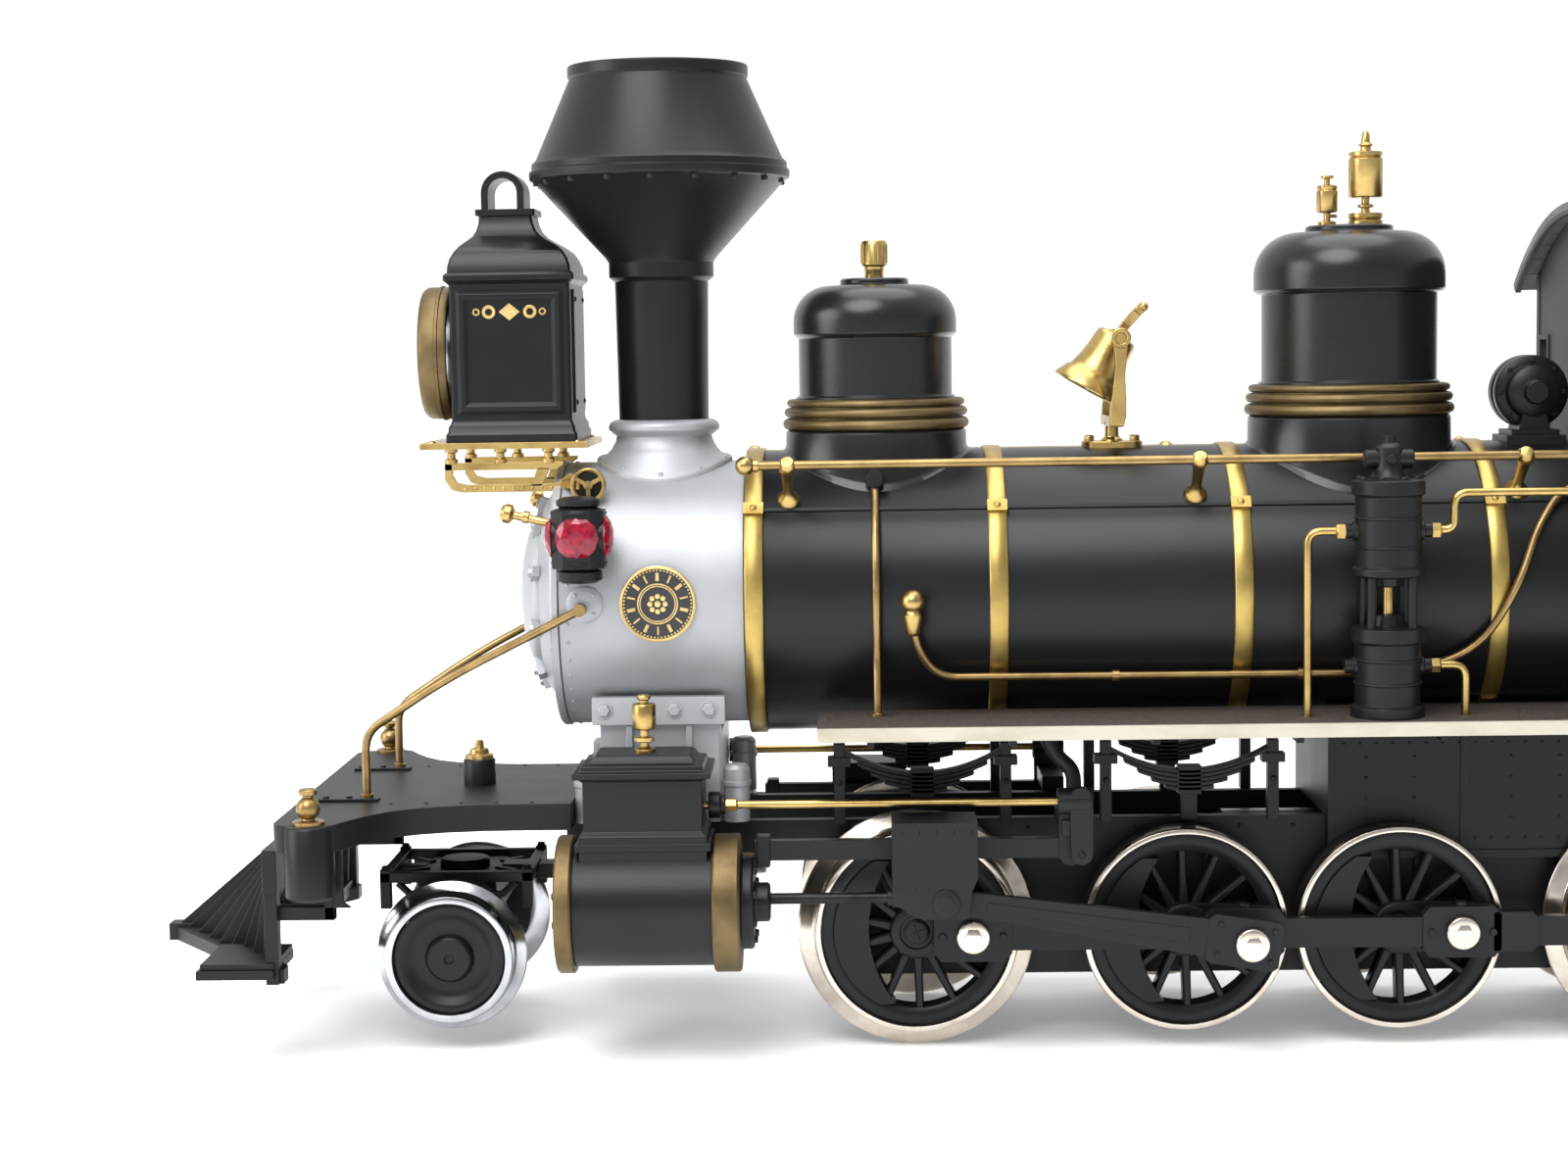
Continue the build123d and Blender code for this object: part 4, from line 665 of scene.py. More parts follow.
def smokebox():
    p = Piece("smokebox_shell")
    length = smoke_high.x - smoke_low.x
    p.turn(
        [(0, 0.5), (26.2, 0), (26.7, 0.3), (26.7, length - 0.2), (26.4, length), (0, length)], SILVER,
        (smoke_low.x, 0, BOILER_Z), (1, 0, 0), 144
    )
    for k in range(44):
        angle = 360 / 44 * k
        p.rivet(boiler_point(smoke_low.x + 1.9, angle, 26.65), boiler_out(angle), 0.42, SILVER)
    p.finish("chassis", "smokebox", bevel=0.1, angle=35)


def smokebox_front():
    """Front ring with a dished door, two strap hinges and clamps around its edge."""
    p = Piece("smokebox_door")
    front = smoke_low.x
    profile = [
        (27.1, -0.05), (27.1, 1.1), (26.7, 1.6), (22.6, 2.0), (21.0, 2.8), (19.2, 4.2), (18.4, 4.5),
        (17.0, 4.6),
        (16.4, 5.0), (16.2, 5.7), (15.0, 6.8), (12.6, 8.0), (9.0, 9.0), (5.0, 9.6), (2.6, 9.8),
        (2.4, 9.9), (0, 9.9),
    ]
    p.turn([(0, -0.05)] + profile, SILVER, (front, 0, BOILER_Z), (-1, 0, 0), 112)
    for k in range(10):
        angle = 36 * k + 18
        root = boiler_point(front - 4.9, angle, 19.6)
        tip = boiler_point(front - 6.0, angle, 15.4)
        p.bar(root, tip, 2.2, 1.5, SILVER, boiler_out(angle + 90))
        p.hex_bolt(boiler_point(front - 4.9, angle, 18.2), (-1, 0, 0), 1.1, 1.8, SILVER)
    for height in (9.0, -9.0):
        p.bar(
            (front - 5.2, 20.5, BOILER_Z + height), (front - 8.6, 0, BOILER_Z + height * 0.55), 2.0, 0.9,
            SILVER, (0, 0, 1)
        )
    for k in range(32):
        angle = 360 / 32 * k
        p.rivet(boiler_point(front - 1.75, angle, 24.6), (-1, 0, 0), 0.5, SILVER)
    p.finish("chassis", "smokebox_front", bevel=0.1, angle=35)


def builder_plates():
    """Round enamel plates with a rope edge and a rosette in place of lettering, and the stay flanges."""
    p = Piece("round_plates")
    for side in (-1, 1):
        out = (0, side, 0)
        at = Vector((-79.1, side * (SMOKE_R - 0.4), BOILER_Z))
        p.turn([(0, 0), (7.4, 0), (7.4, 0.75), (0, 0.75)], PLATE_BLUE, at, out, 72)
        p.hoop([(6.9, 0.6), (7.45, 0.6), (7.45, 1.02), (7.3, 1.1), (6.9, 1.0)], GOLD, at, out, 72)
        p.hoop([(3.75, 0.7), (4.0, 0.7), (4.0, 0.95), (3.75, 0.95)], GOLD, at, out, 48)
        p.hoop([(3.35, 0.7), (3.55, 0.7), (3.55, 0.9), (3.35, 0.9)], GOLD, at, out, 48)
        for k in range(60):
            a = 2 * math.pi * k / 60
            p.turn(
                [(0.22, 0.6), (0.2, 1.06), (0, 1.1)], GOLD,
                at + Vector((6.6 * math.cos(a), 0, 6.6 * math.sin(a))), out, 6
            )
        for k in range(14):
            a = 2 * math.pi * (k + 0.5) / 14
            middle = at + Vector((5.3 * math.cos(a), 0, 5.3 * math.sin(a)))
            along = Vector((math.cos(a), 0, math.sin(a)))
            depth = Vector(out) * 0.85
            p.bar(
                middle + depth - along * 0.8, middle + depth + along * 0.8, 0.34 + 0.3 * (k % 2), 0.25,
                GOLD, along.cross(Vector(out))
            )
        for k in range(8):
            a = 2 * math.pi * k / 8
            middle = at + Vector((1.5 * math.cos(a), 0, 1.5 * math.sin(a)))
            p.turn([(0.55, 0.7), (0.5, 0.95), (0, 1.05)], GOLD, middle, out, 10)
        p.turn([(0.7, 0.7), (0.6, 1.0), (0, 1.1)], GOLD, at, out, 14)
        flange = Vector((-93.4, side * (SMOKE_R - 0.6), BOILER_Z))
        p.turn([(0, 0), (3.6, 0), (3.6, 0.85), (3.3, 1.1), (1.6, 1.2), (0, 1.2)], SILVER, flange, out, 40)
        for k in range(4):
            a = math.pi / 4 + math.pi / 2 * k
            p.rivet(
                flange + Vector((2.6 * math.cos(a), side * 1.1, 2.6 * math.sin(a))), out, 0.45, SILVER
            )
    p.finish("chassis", "builder_plates", bevel=0, angle=40)


def saddle():
    """Smokebox saddle casting with its flange, bolts and steam pipes."""
    p = Piece("saddle_casting")
    half = 21.6
    for side in (-1, 1):
        ys = (side * 10.0, side * half)
        p.block((-91.4, min(ys), 45.2), (-67.8, max(ys), 66.6), SILVER)
        p.plate(
            [(-92.8, 64.9), (-66.5, 64.9), (-66.5, 70.4), (-92.8, 70.4)], (side * 20.0, side * 23.1),
            SILVER
        )
        for k in range(4):
            x = -90.4 + 6.93 * k
            p.hex_bolt((x, side * 23.0, 67.9), (0, side, 0), 1.35, 0.9, SILVER)
            p.turn([(1.8, 0), (1.8, 0.25), (0, 0.25)], SILVER, (x, side * 23.0, 67.9), (0, side, 0), 20)
        for x in (-94.2, -64.6):
            p.turn([(2.6, 45), (2.6, 55.6), (1.9, 56.4), (0, 56.4)], SILVER, (x, side * 19.0, 0))
            p.turn([(2.9, 52.2), (2.9, 53.2)], SILVER, (x, side * 19.0, 0))
        for x in (-85.5, -73.7):
            p.plate(
                [(x - 0.6, 46), (x + 0.6, 46), (x + 0.6, 64.8), (x - 0.6, 64.8)],
                (side * 21, side * 22.6), SILVER
            )
    p.block((-91.4, -10.2, 45.2), (-67.8, 10.2, 61.8), SILVER)
    p.finish("chassis", "saddle", bevel=0.35, angle=34)


# ---- cylinders -----------------------------------------------------------------------------------


def cylinders():
    p = Piece("cylinder_castings")
    for side in (-1, 1):
        at = (0, side * CYL_Y, CYL_Z)
        p.hoop([(1.8, -95.1), (12.0, -95.1), (12.0, -68.4), (1.8, -68.4)], BLACK, at, (1, 0, 0), 96)
        p.turn(
            [(0, -98.7), (9.6, -98.7), (10.4, -98.3), (10.4, -95.0), (0, -95.0)], BLACK, at, (1, 0, 0), 72
        )
        p.hoop(
            [
                (1.8, -68.5), (10.4, -68.5), (10.4, -63.4), (9.8, -63.0), (9.0, -62.8), (9.0, -61.1),
                (8.6, -60.7), (4.2, -60.6), (3.8, -60.2), (3.8, -58.0), (3.3, -57.6), (1.8, -57.6)
            ],
            BLACK, at, (1, 0, 0), 72
        )
        for k in range(8):
            a = math.radians(22.5 + 45 * k)
            y, z = at[1] + 7.2 * math.cos(a), at[2] + 7.2 * math.sin(a)
            p.hex_bolt((-60.8, y, z), (1, 0, 0), 0.85, 0.8, BLACK)
            p.hex_bolt((-98.6, y, z), (-1, 0, 0), 0.85, 0.7, BLACK)
    p.finish("chassis", "cylinders", bevel=0.18, angle=34)


OIL_CUP = [
    (0, 0), (2.1, 0), (2.1, 0.6), (0.9, 1.0), (0.9, 1.8), (2.0, 2.1), (2.0, 2.8), (0.8, 3.0), (0.8, 4.2),
    (2.1, 4.4),
    (2.3, 4.7), (2.3, 9.0), (2.1, 9.3), (0.9, 9.5), (0.9, 10.0), (1.3, 10.2), (1.4, 10.6), (1.2, 11.0),
    (0, 11.0),
]


def cylinder_brass():
    p = Piece("cylinder_rings_and_cups")
    for side in (-1, 1):
        at = (0, side * CYL_Y, CYL_Z)
        for low, high in ((-98.45, -95.1), (-68.4, -63.2)):
            section = [
                (10.45, low), (12.9, low), (13.3, low + 0.4), (13.3, high - 0.4), (12.9, high),
                (10.45, high)
            ]
            p.hoop(section, DULL_BRASS, at, (1, 0, 0), 96)
        p.turn(OIL_CUP, BRASS, (-81.4, side * 37.0, 61.75), steps=32)
        p.turn([(1.75, 0.3), (1.75, 0.9)], BRASS, (-81.4, side * 37.0, 67.2), (1, 0, 0), 8)
    p.finish("chassis", "cylinder_brass", bevel=0.05, angle=40)


def steam_chests():
    p = Piece("steam_chest_castings")
    for side in (-1, 1):
        low_y, high_y = 27.5, 45.0
        levels = [
            (0.0, 37.5), (0.0, 46.5), (-0.9, 47.4), (-0.9, 56.9), (0.0, 57.6), (0.9, 57.7), (0.9, 58.8),
            (-0.4, 59.0), (-0.7, 60.0), (-2.2, 60.3), (-2.6, 61.2), (-3.4, 61.8),
        ]
        rings = []
        for grow, z in levels:
            x0, x1 = -93.8 - grow, -69.3 + grow
            y0, y1 = side * (low_y - grow), side * (high_y + grow)
            rings.append(
                [Vector((x0, y0, z)), Vector((x1, y0, z)), Vector((x1, y1, z)), Vector((x0, y1, z))]
            )
        p.rings(rings, BLACK)
        flare = [(-94.6, 45.2), (-68.6, 45.2), (-68.6, 43.6), (-94.6, 43.6)]
        p.plate(flare, (side * 28.5, side * 45.2), BLACK)
        p.side_block(side, (-90, -71), (22, 27.8), (45.5, 56), BLACK)
        p.turn(
            [(2.6, 0), (2.6, 2.2), (2.0, 2.4), (2.0, 3.2), (0, 3.2)], BLACK, (-69.3, side * 35.7, 51.0),
            (1, 0, 0), 28
        )
        for x in (-91.6, -71.5):
            for y in (30.0, 36.2, 42.4):
                p.hex_bolt((x, side * y, 58.9), (0, 0, 1), 0.8, 0.7, BLACK)
    p.finish("chassis", "steam_chests", bevel=0.3, angle=30)


def crank_pin(index, side):
    a = math.radians(CRANK_ANGLE[side])
    return DRIVER_XS[index] + CRANK * math.cos(a), AXLE_Z + CRANK * math.sin(a)


def wrist_x(side):
    x, z = crank_pin(1, side)
    return x - math.sqrt(MAIN_LENGTH**2 - (z - WRIST_Z) ** 2)


def crossheads():
    for side, name in ((-1, "left"), (1, "right")):
        p = Piece(f"crosshead_{name}_casting")
        x = wrist_x(side)
        front, rear = x - 10.2, x + 6.1
        outline = [
            (front, 48.4), (rear, 48.4), (rear, 37.8), (rear - 1.2, 35.0), (x + 4.4, 30.6),
            (x + 3.2, 29.8),
            (front + 6.0, 29.8), (front + 3.4, 30.8), (front, 33.2),
        ]
        p.plate(outline, (side * 42.0, side * 44.0), ROD_BLACK)
        p.side_block(side, (front, rear), (31.4, 42), (47.0, 48.4), ROD_BLACK)
        p.side_block(side, (front, x - 1.5), (35.8, 38.8), (31.2, 47.0), ROD_BLACK)
        p.side_block(side, (front, x - 1.5), (33.2, 35.9), (37.95, 39.6), ROD_BLACK)
        for k in range(5):
            p.rivet((front + 1.6 + 3.3 * k, side * 43.9, 46.6), (0, side, 0), 0.5, ROD_BLACK)
        for k in range(4):
            p.rivet((front + 1.4 + 2.6 * k, side * 43.9, 35.6), (0, side, 0), 0.42, ROD_BLACK)
        p.turn(
            [(2.7, 0), (2.7, 0.35), (2.3, 0.5), (0, 0.5)], ROD_BLACK, (x, side * 44.0, WRIST_Z),
            (0, side, 0), 32
        )
        p.turn([(1.5, 0.4), (1.5, 0.7), (0, 0.7)], ROD_BLACK, (x, side * 44.0, WRIST_Z), (0, side, 0), 24)
        p.rod((x, side * 41.75, WRIST_Z), (x, side * 42.0, WRIST_Z), 2.4, ROD_BLACK)
        p.rod(
            (x - 38.0, side * CYL_Y, WRIST_Z), (front + 0.5, side * CYL_Y, WRIST_Z), 1.1, PISTON_STEEL, 24
        )
        p.rod(
            (front - 0.9, side * CYL_Y, WRIST_Z), (front + 0.4, side * CYL_Y, WRIST_Z), 1.6, ROD_BLACK, 24
        )
        p.finish(f"sliding_crosshead_{name}", f"crosshead_{name}", bevel=0.15)


def guide_bars():
    p = Piece("guide_bars_and_yokes")
    for side in (-1, 1):
        y0, y1 = span(side, 33.0, 35.6)
        p.block((-60.7, y0, 39.9), (1.0, y1, 43.8), ROD_BLACK)
        p.side_block(side, (-60.2, -57.6), (32.6, 36.0), (38.8, 44.8), ROD_BLACK)
        y0, y1 = span(side, 16.5, 36.9)
        p.block((-1.4, y0, 44.3), (3.2, y1, 47.4), ROD_BLACK)
        p.plate(hull_of([(0.2, 51.2, 2.2), (0.4, 40.7, 2.3)]), span(side, 33.4, 35.9), ROD_BLACK)
        p.plate(hull_of([(2.3, 51.6, 2.3), (2.4, 40.9, 2.1)]), span(side, 35.6, 37.8), ROD_BLACK)
        p.turn(
            [(2.6, 0), (2.6, 6.4), (2.2, 6.8), (0, 6.8)], ROD_BLACK, (-2.2, side * 35.7, 51.0), (1, 0, 0),
            28
        )
        route = [
            (1.2, side * 33.0, 52.5), (1.2, side * 32.0, 56.5), (-2.4, side * 31.6, 59.5),
            (-4.6, side * 31.4, 64.9)
        ]
        p.tube(rounded_path(route, 3.0), 1.5, ROD_BLACK)
        p.side_block(side, (-6.6, -2.6), (29.6, 33.2), (62.8, 65.1), ROD_BLACK)
        for z in (40.9, 51.4):
            p.rivet((2.3, side * 37.7, z), (0, side, 0), 0.75, ROD_BLACK)
    p.finish("chassis", "guide_bars", bevel=0.2)


def valve_rods():
    p = Piece("valve_rods_brass")
    for side in (-1, 1):
        p.rod((-72.2, side * 35.7, 51.0), (4.4, side * 35.7, 51.0), 0.8, BRASS, 20)
        p.turn([(1.3, 0), (1.3, 2.0), (0.9, 2.3)], BRASS, (-66.0, side * 35.7, 51.0), (1, 0, 0), 6)
    p.finish("chassis", "valve_rods", bevel=0.05)


# ---- wheels and rods ------------------------------------------------------------------------------


def driver_wheels():
    for index, x in enumerate(DRIVER_XS):
        number = index + 1
        p = Piece(f"driver_{number}_centres")
        p.rod((x, -TYRE_BACK - 5.5, AXLE_Z), (x, TYRE_BACK + 5.5, AXLE_Z), 3.0, ROD_BLACK, 32)
        for side in (-1, 1):
            wheel_centre(p, index, side)
        if number == 2:
            worm_wheel(p, x)
        p.finish(f"wheelset_{number}", f"driver_{number}", bevel=0.14, angle=34)
        t = Piece(f"driver_{number}_bright_tyres")
        for side in (-1, 1):
            driver_tyre(t, x, side, index in (0, 3))
        t.finish(f"wheelset_{number}", f"driver_{number}_tyres", bevel=0.08, angle=34)


def wheel_centre(p, index, side):
    """Spoked centre with rim, hub, crank boss, counterweight, hub screw and crank pin."""
    x = DRIVER_XS[index]
    at = (x, side * TYRE_BACK, AXLE_Z)
    out = (0, side, 0)
    angle = CRANK_ANGLE[side]
    p.hoop(
        [(15.4, 0.2), (18.8, 0.2), (18.8, 5.4), (17.6, 5.6), (16.2, 5.4), (15.4, 4.9)], BLACK, at, out,
        112
    )
    p.turn(
        [(0, 0.3), (5.4, 0.3), (5.4, 5.8), (5.0, 6.4), (4.4, 6.6), (3.4, 6.6), (3.2, 6.1), (0, 6.1)],
        BLACK, at, out, 48
    )
    spokes = 14
    for k in range(spokes):
        a = math.radians(angle + 360 / spokes * (k + 0.5))
        along = Vector((math.cos(a), 0, math.sin(a)))
        across = Vector((-math.sin(a), 0, math.cos(a)))
        rings = []
        for reach, half, low, high in (
            (4.6, 1.05, 1.2, 5.4), (10.0, 0.85, 1.4, 4.9), (15.9, 0.8, 1.2, 4.9)
        ):
            ring = []
            for s, depth in (
                (-1, low), (1, low), (1, high - 0.5), (0.55, high), (-0.55, high), (-1, high - 0.5)
            ):
                ring.append(Vector(at) + along * reach + across * half * s + Vector(out) * depth)
            rings.append(ring)
        p.rings(rings, BLACK)
    back = angle + 180
    crescent = arc(16.4, back - 62, back + 62, 24) + arc(
        24.0, back + 36.5, back - 36.5, 10, shift(back, -14.6)
    )
    outline = [(x + a, AXLE_Z + b) for a, b in crescent]
    p.plate(outline, (side * (TYRE_BACK + 0.8), side * (TYRE_BACK + 5.9)), BLACK)
    pin_x, pin_z = crank_pin(index, side)
    web = [(x, AXLE_Z, 5.2), (pin_x, pin_z, 4.6)]
    p.plate(hull_of(web), (side * (TYRE_BACK + 0.8), side * (TYRE_BACK + 6.2)), BLACK)
    p.turn(
        [(0, 6.0), (4.6, 6.0), (4.6, 8.6), (4.1, 9.2), (0, 9.2)], BLACK, (pin_x, side * TYRE_BACK, pin_z),
        out, 36
    )
    screw_head(p, (x, side * (TYRE_BACK + 6.1), AXLE_Z), side, 2.6)
    reach = (MAIN_ROD[1] if index == 1 else SIDE_ROD[1]) + 0.15
    p.rod((pin_x, side * (TYRE_BACK + 8), pin_z), (pin_x, side * reach, pin_z), 2.15, GUIDE_STEEL, 28)
    if index == 1:
        p.turn(
            [(3.3, 0), (3.3, MAIN_ROD[0] - SIDE_ROD[1] - 0.5)], ROD_BLACK,
            (pin_x, side * (SIDE_ROD[1] + 0.25), pin_z), out, 32
        )
    head = [(3.2, 0), (3.3, 0.15), (3.3, 0.9), (3.05, 1.25), (2.4, 1.4), (0, 1.4)]
    p.turn(head, NICKEL, (pin_x, side * reach, pin_z), out, 40)
    p.turn([(1.9, 0), (1.9, 1.55), (1.7, 1.65), (0, 1.65)], NICKEL, (pin_x, side * reach, pin_z), out, 6)


def shift(angle, distance):
    a = math.radians(angle)
    return distance * math.cos(a), distance * math.sin(a)


def hull_of(circles):
    """Outline around two circles given as (x, z, radius)."""
    (x0, z0, r0), (x1, z1, r1) = circles
    heading = math.degrees(math.atan2(z1 - z0, x1 - x0))
    lean = math.degrees(math.asin((r0 - r1) / math.hypot(x1 - x0, z1 - z0)))
    near = arc(r0, heading + 90 - lean, heading + 270 + lean, 20, (x0, z0))
    far = arc(r1, heading - 90 + lean, heading + 90 - lean, 20, (x1, z1))
    return near + far


def screw_head(p, at, side, radius):
    """A black screw with a cross slot. The slot is two raised bars in a darker black, painted shade in
    place of a cut recess.
    """
    out = Vector((0, side, 0))
    p.turn([(radius, -0.2), (radius, 0.35), (radius * 0.8, 0.75), (0, 0.8)], ROD_BLACK, at, out, 28)
    # Painted shade: darker black bars stand where the recessed slot would be shaded.
    for turn in (0.4, 0.4 + math.pi / 2):
        along = Vector((math.cos(turn), 0, math.sin(turn))) * radius * 0.62
        middle = Vector(at) + out * 0.72
        p.bar(middle - along, middle + along, 0.45, 0.3, LAMP_BLACK_AND_SHADE, out)


def driver_tyre(p, x, side, flanged):
    """Plated tyre: flange at the back, coned tread, polished face with a turned step."""
    at = (x, side * TYRE_BACK, AXLE_Z)
    face = [(20.1, 6.0), (19.95, 6.35), (19.6, 6.5), (19.0, 6.5), (18.85, 6.2)]
    if flanged:
        section = [
            (18.85, 0.1), (22.4, 0.1), (23.2, 0.3), (23.6, 0.8), (23.5, 1.3), (22.9, 1.8), (20.9, 2.3),
            (20.3, 2.8)
        ] + face
    else:
        section = [(18.85, 0.1), (19.9, 0.1), (20.1, 0.4)] + face
    p.hoop(section, NICKEL, at, (0, side, 0), 144)


def worm_wheel(p, x):
    teeth = 20
    outline = []
    for k in range(teeth):
        for share, radius in ((0.0, 6.2), (0.22, 6.9), (0.5, 6.9), (0.72, 6.2)):
            a = 2 * math.pi * (k + share) / teeth
            outline.append((x + radius * math.cos(a), AXLE_Z + radius * math.sin(a)))
    p.plate(outline, (-2.5, 2.5), BRASS)


def side_rods():
    for side, name in ((-1, "left"), (1, "right")):
        p = Piece(f"coupling_rod_{name}_bar")
        pins = [crank_pin(i, side) for i in range(4)]
        z = pins[0][1]
        y0, y1 = side * SIDE_ROD[0], side * SIDE_ROD[1]
        for (xa, _), (xb, _) in zip(pins, pins[1:]):
            p.block((xa, min(y0, y1) + 0.35, z - 2.9), (xb, max(y0, y1) - 0.35, z + 2.9), ROD_BLACK)
        for x, _ in pins:
            outline = [
                (x - 7.6, z - 3.4), (x - 6.2, z - 5.0), (x + 6.2, z - 5.0), (x + 7.6, z - 3.4),
                (x + 7.6, z + 3.4), (x + 6.2, z + 5.0), (x - 6.2, z + 5.0), (x - 7.6, z + 3.4)
            ]
            p.plate(outline, (y0, y1), ROD_BLACK)
            p.turn(
                [(1.2, 0), (1.2, 0.7), (0.8, 1.0), (0, 1.0)], ROD_BLACK, (x, (y0 + y1) / 2, z + 4.95),
                steps=20
            )
            for end in (-5.9, 5.9):
                p.hex_bolt((x + end, y1, z), (0, side, 0), 0.8, 0.5, ROD_BLACK)
        x3 = pins[2][0] + 9.5
        knuckle = [
            (x3 - 3.5, z - 3.9), (x3 + 4.0, z - 3.9), (x3 + 5.2, z - 2.6), (x3 + 5.2, z + 2.6),
            (x3 + 4.0, z + 3.9), (x3 - 3.5, z + 3.9)
        ]
        p.plate(knuckle, (y0, y1), ROD_BLACK)
        p.finish(f"coupling_rod_{name}", f"side_rod_{name}", bevel=0.22)


def main_rods():
    for side, name in ((-1, "left"), (1, "right")):
        p = Piece(f"connecting_rod_{name}_bar")
        pin_x, pin_z = crank_pin(1, side)
        x = wrist_x(side)
        lean = math.atan2(WRIST_Z - pin_z, x - pin_x)
        turn = Matrix.Translation((pin_x, 0, pin_z)) @ Matrix.Rotation(-(lean - math.pi), 4, "Y")
        reach = MAIN_LENGTH
        y0, y1 = side * MAIN_ROD[0], side * MAIN_ROD[1]
        bar = [(-reach, 2.1), (-8, 3.7), (-8, -3.7), (-reach, -2.1)]
        p.plate(bar, (y0 + side * 0.2, y1 - side * 0.2), ROD_BLACK, turn=turn)
        flute = [(-reach + 8, 0.75), (-12, 1.5), (-12, -1.5), (-reach + 8, -0.75)]
        p.plate(flute, (y1 - side * 0.4, y1 + side * 0.02), ROD_BLACK, turn=turn)
        end = [
            (-8.6, 4.0), (-7.4, 4.8), (4.6, 4.8), (5.6, 3.9), (5.6, -3.9), (4.6, -4.8), (-7.4, -4.8),
            (-8.6, -4.0)
        ]
        p.plate(end, (y0, y1), ROD_BLACK, turn=turn)
        eye = [(-reach + a, b) for a, b in arc(3.4, 0, 350, 35)]
        p.plate(eye, (y0, y1), ROD_BLACK, turn=turn)
        for a, b in ((-6.4, 3.0), (-6.4, -3.0), (4.0, 3.0), (4.0, -3.0)):
            at = turn @ Vector((a, y1, b))
            p.hex_bolt(at, (0, side, 0), 0.6, 0.45, ROD_BLACK)
        p.finish(f"connecting_rod_{name}", f"main_rod_{name}", bevel=0.18)


def pilot_wheels():
    p = Piece("pilot_wheelset_turned")
    p.rod((TRUCK_X, -22, PILOT_Z), (TRUCK_X, 22, PILOT_Z), 1.5, GUIDE_STEEL, 24)
    for side in (-1, 1):
        at = (TRUCK_X, side * TYRE_BACK, PILOT_Z)
        out = (0, side, 0)
        tyre = [
            (10.95, 0.1), (14.3, 0.1), (14.9, 0.4), (15.1, 0.9), (14.9, 1.4), (13.7, 2.0), (13.1, 2.5),
            (12.8, 6.0),
            (12.6, 6.4), (12.2, 6.5), (11.3, 6.5), (11.1, 6.1), (10.95, 5.2),
        ]
        p.hoop(tyre, CHROME, at, out, 120)
        face = [
            (0, 0.2), (10.9, 0.2), (10.9, 5.6), (10.3, 5.8), (9.2, 5.6), (8.3, 4.7), (6.6, 4.3),
            (4.9, 4.5), (4.4, 5.9), (4.0, 6.2), (1.0, 6.2), (0.8, 5.8), (0, 5.7)
        ]
        p.turn(face, BLACK, at, out, 72)
    p.finish("pilot_wheelset", "pilot_wheels", bevel=0.06, angle=36)


def truck_frame():
    p = Piece("pilot_truck_casting")
    for y in (-12.5, 12.5):
        p.block((TRUCK_X - 15.5, y - 1.1, 31.9), (TRUCK_X + 15.5, y + 1.1, 34.0), FRAME_BLACK)
        p.plate(
            [(TRUCK_X - 5.5, 32), (TRUCK_X + 5.5, 32), (TRUCK_X + 4.2, 14.2), (TRUCK_X - 4.2, 14.2)],
            (y - 1.1, y + 1.1), FRAME_BLACK
        )
        p.turn(
            [(3.2, 0), (3.2, 0.8), (0, 0.8)], FRAME_BLACK, (TRUCK_X, y + math.copysign(1.0, y), PILOT_Z),
            (0, math.copysign(1, y), 0), 24
        )
        for x in (-14.4, 14.4):
            p.block((TRUCK_X + x - 1.1, y - 1.1, 26.6), (TRUCK_X + x + 1.1, y + 1.1, 34.6), FRAME_BLACK)
            p.hex_bolt((TRUCK_X + x, y, 34.5), (0, 0, 1), 0.9, 0.8, FRAME_BLACK)
        for x in (-8.5, 8.5):
            p.tube(
                rounded_path(
                    [(TRUCK_X + x - 3.5, y, 31.8), (TRUCK_X + x, y, 28.4), (TRUCK_X + x + 3.5, y, 31.8)],
                    2
                ),
                0.8, FRAME_BLACK, 10
            )
    for x in (-14.4, 14.4):
        p.block((TRUCK_X + x - 1.1, -11.6, 32.0), (TRUCK_X + x + 1.1, 11.6, 34.0), FRAME_BLACK)
    p.block((TRUCK_X - 8, -12.4, 24.6), (TRUCK_X + 8, 12.4, 32.9), FRAME_BLACK)
    p.turn([(5.1, 32.5), (5.1, 34.2), (4.7, 34.6), (0, 34.6)], FRAME_BLACK, (TRUCK_X, 0, 0), steps=40)
    p.block((TRUCK_X + 8, -3.0, 30.5), (TRUCK_PIVOT_X - 2.5, 3.0, 33.5), FRAME_BLACK)
    p.hoop(
        [(1.7, 30.5), (4.2, 30.5), (4.2, 33.5), (1.7, 33.5)], FRAME_BLACK, (TRUCK_PIVOT_X, 0, 0), steps=40
    )
    for x in (-11.4, 11.4):
        p.block((TRUCK_X + x - 3.4, -1.6, 30.6), (TRUCK_X + x + 3.4, 1.6, 33.2), FRAME_BLACK)
        for y in (-7.0, 7.0):
            p.bar(
                (TRUCK_X + x, y, 32.6), (TRUCK_X + math.copysign(7.0, x), y * 0.5, 32.6), 1.4, 1.4,
                FRAME_BLACK, (0, 0, 1)
            )
    p.finish("pilot_truck", "truck_frame", bevel=0.18)


# ---- front end -------------------------------------------------------------------------------------


def deck_outline():
    """Half outline of the pilot deck, front corner to the cylinders, on the +Y side."""
    half = [(-152.0, 44.2)] + arc(3.8, 180, 90, 5, (-148.2, 44.2)) + [(-141.5, 48.0)]
    half += arc(1.6, 90, 35, 3, (-141.4, 46.4))
    half += [
        (-138.0, 42.6), (-135.2, 37.4), (-131.6, 32.8), (-127.0, 29.6), (-121.5, 27.6), (-114.0, 26.3),
        (-105, 26.0), (-97, 26.0)
    ]
    return half


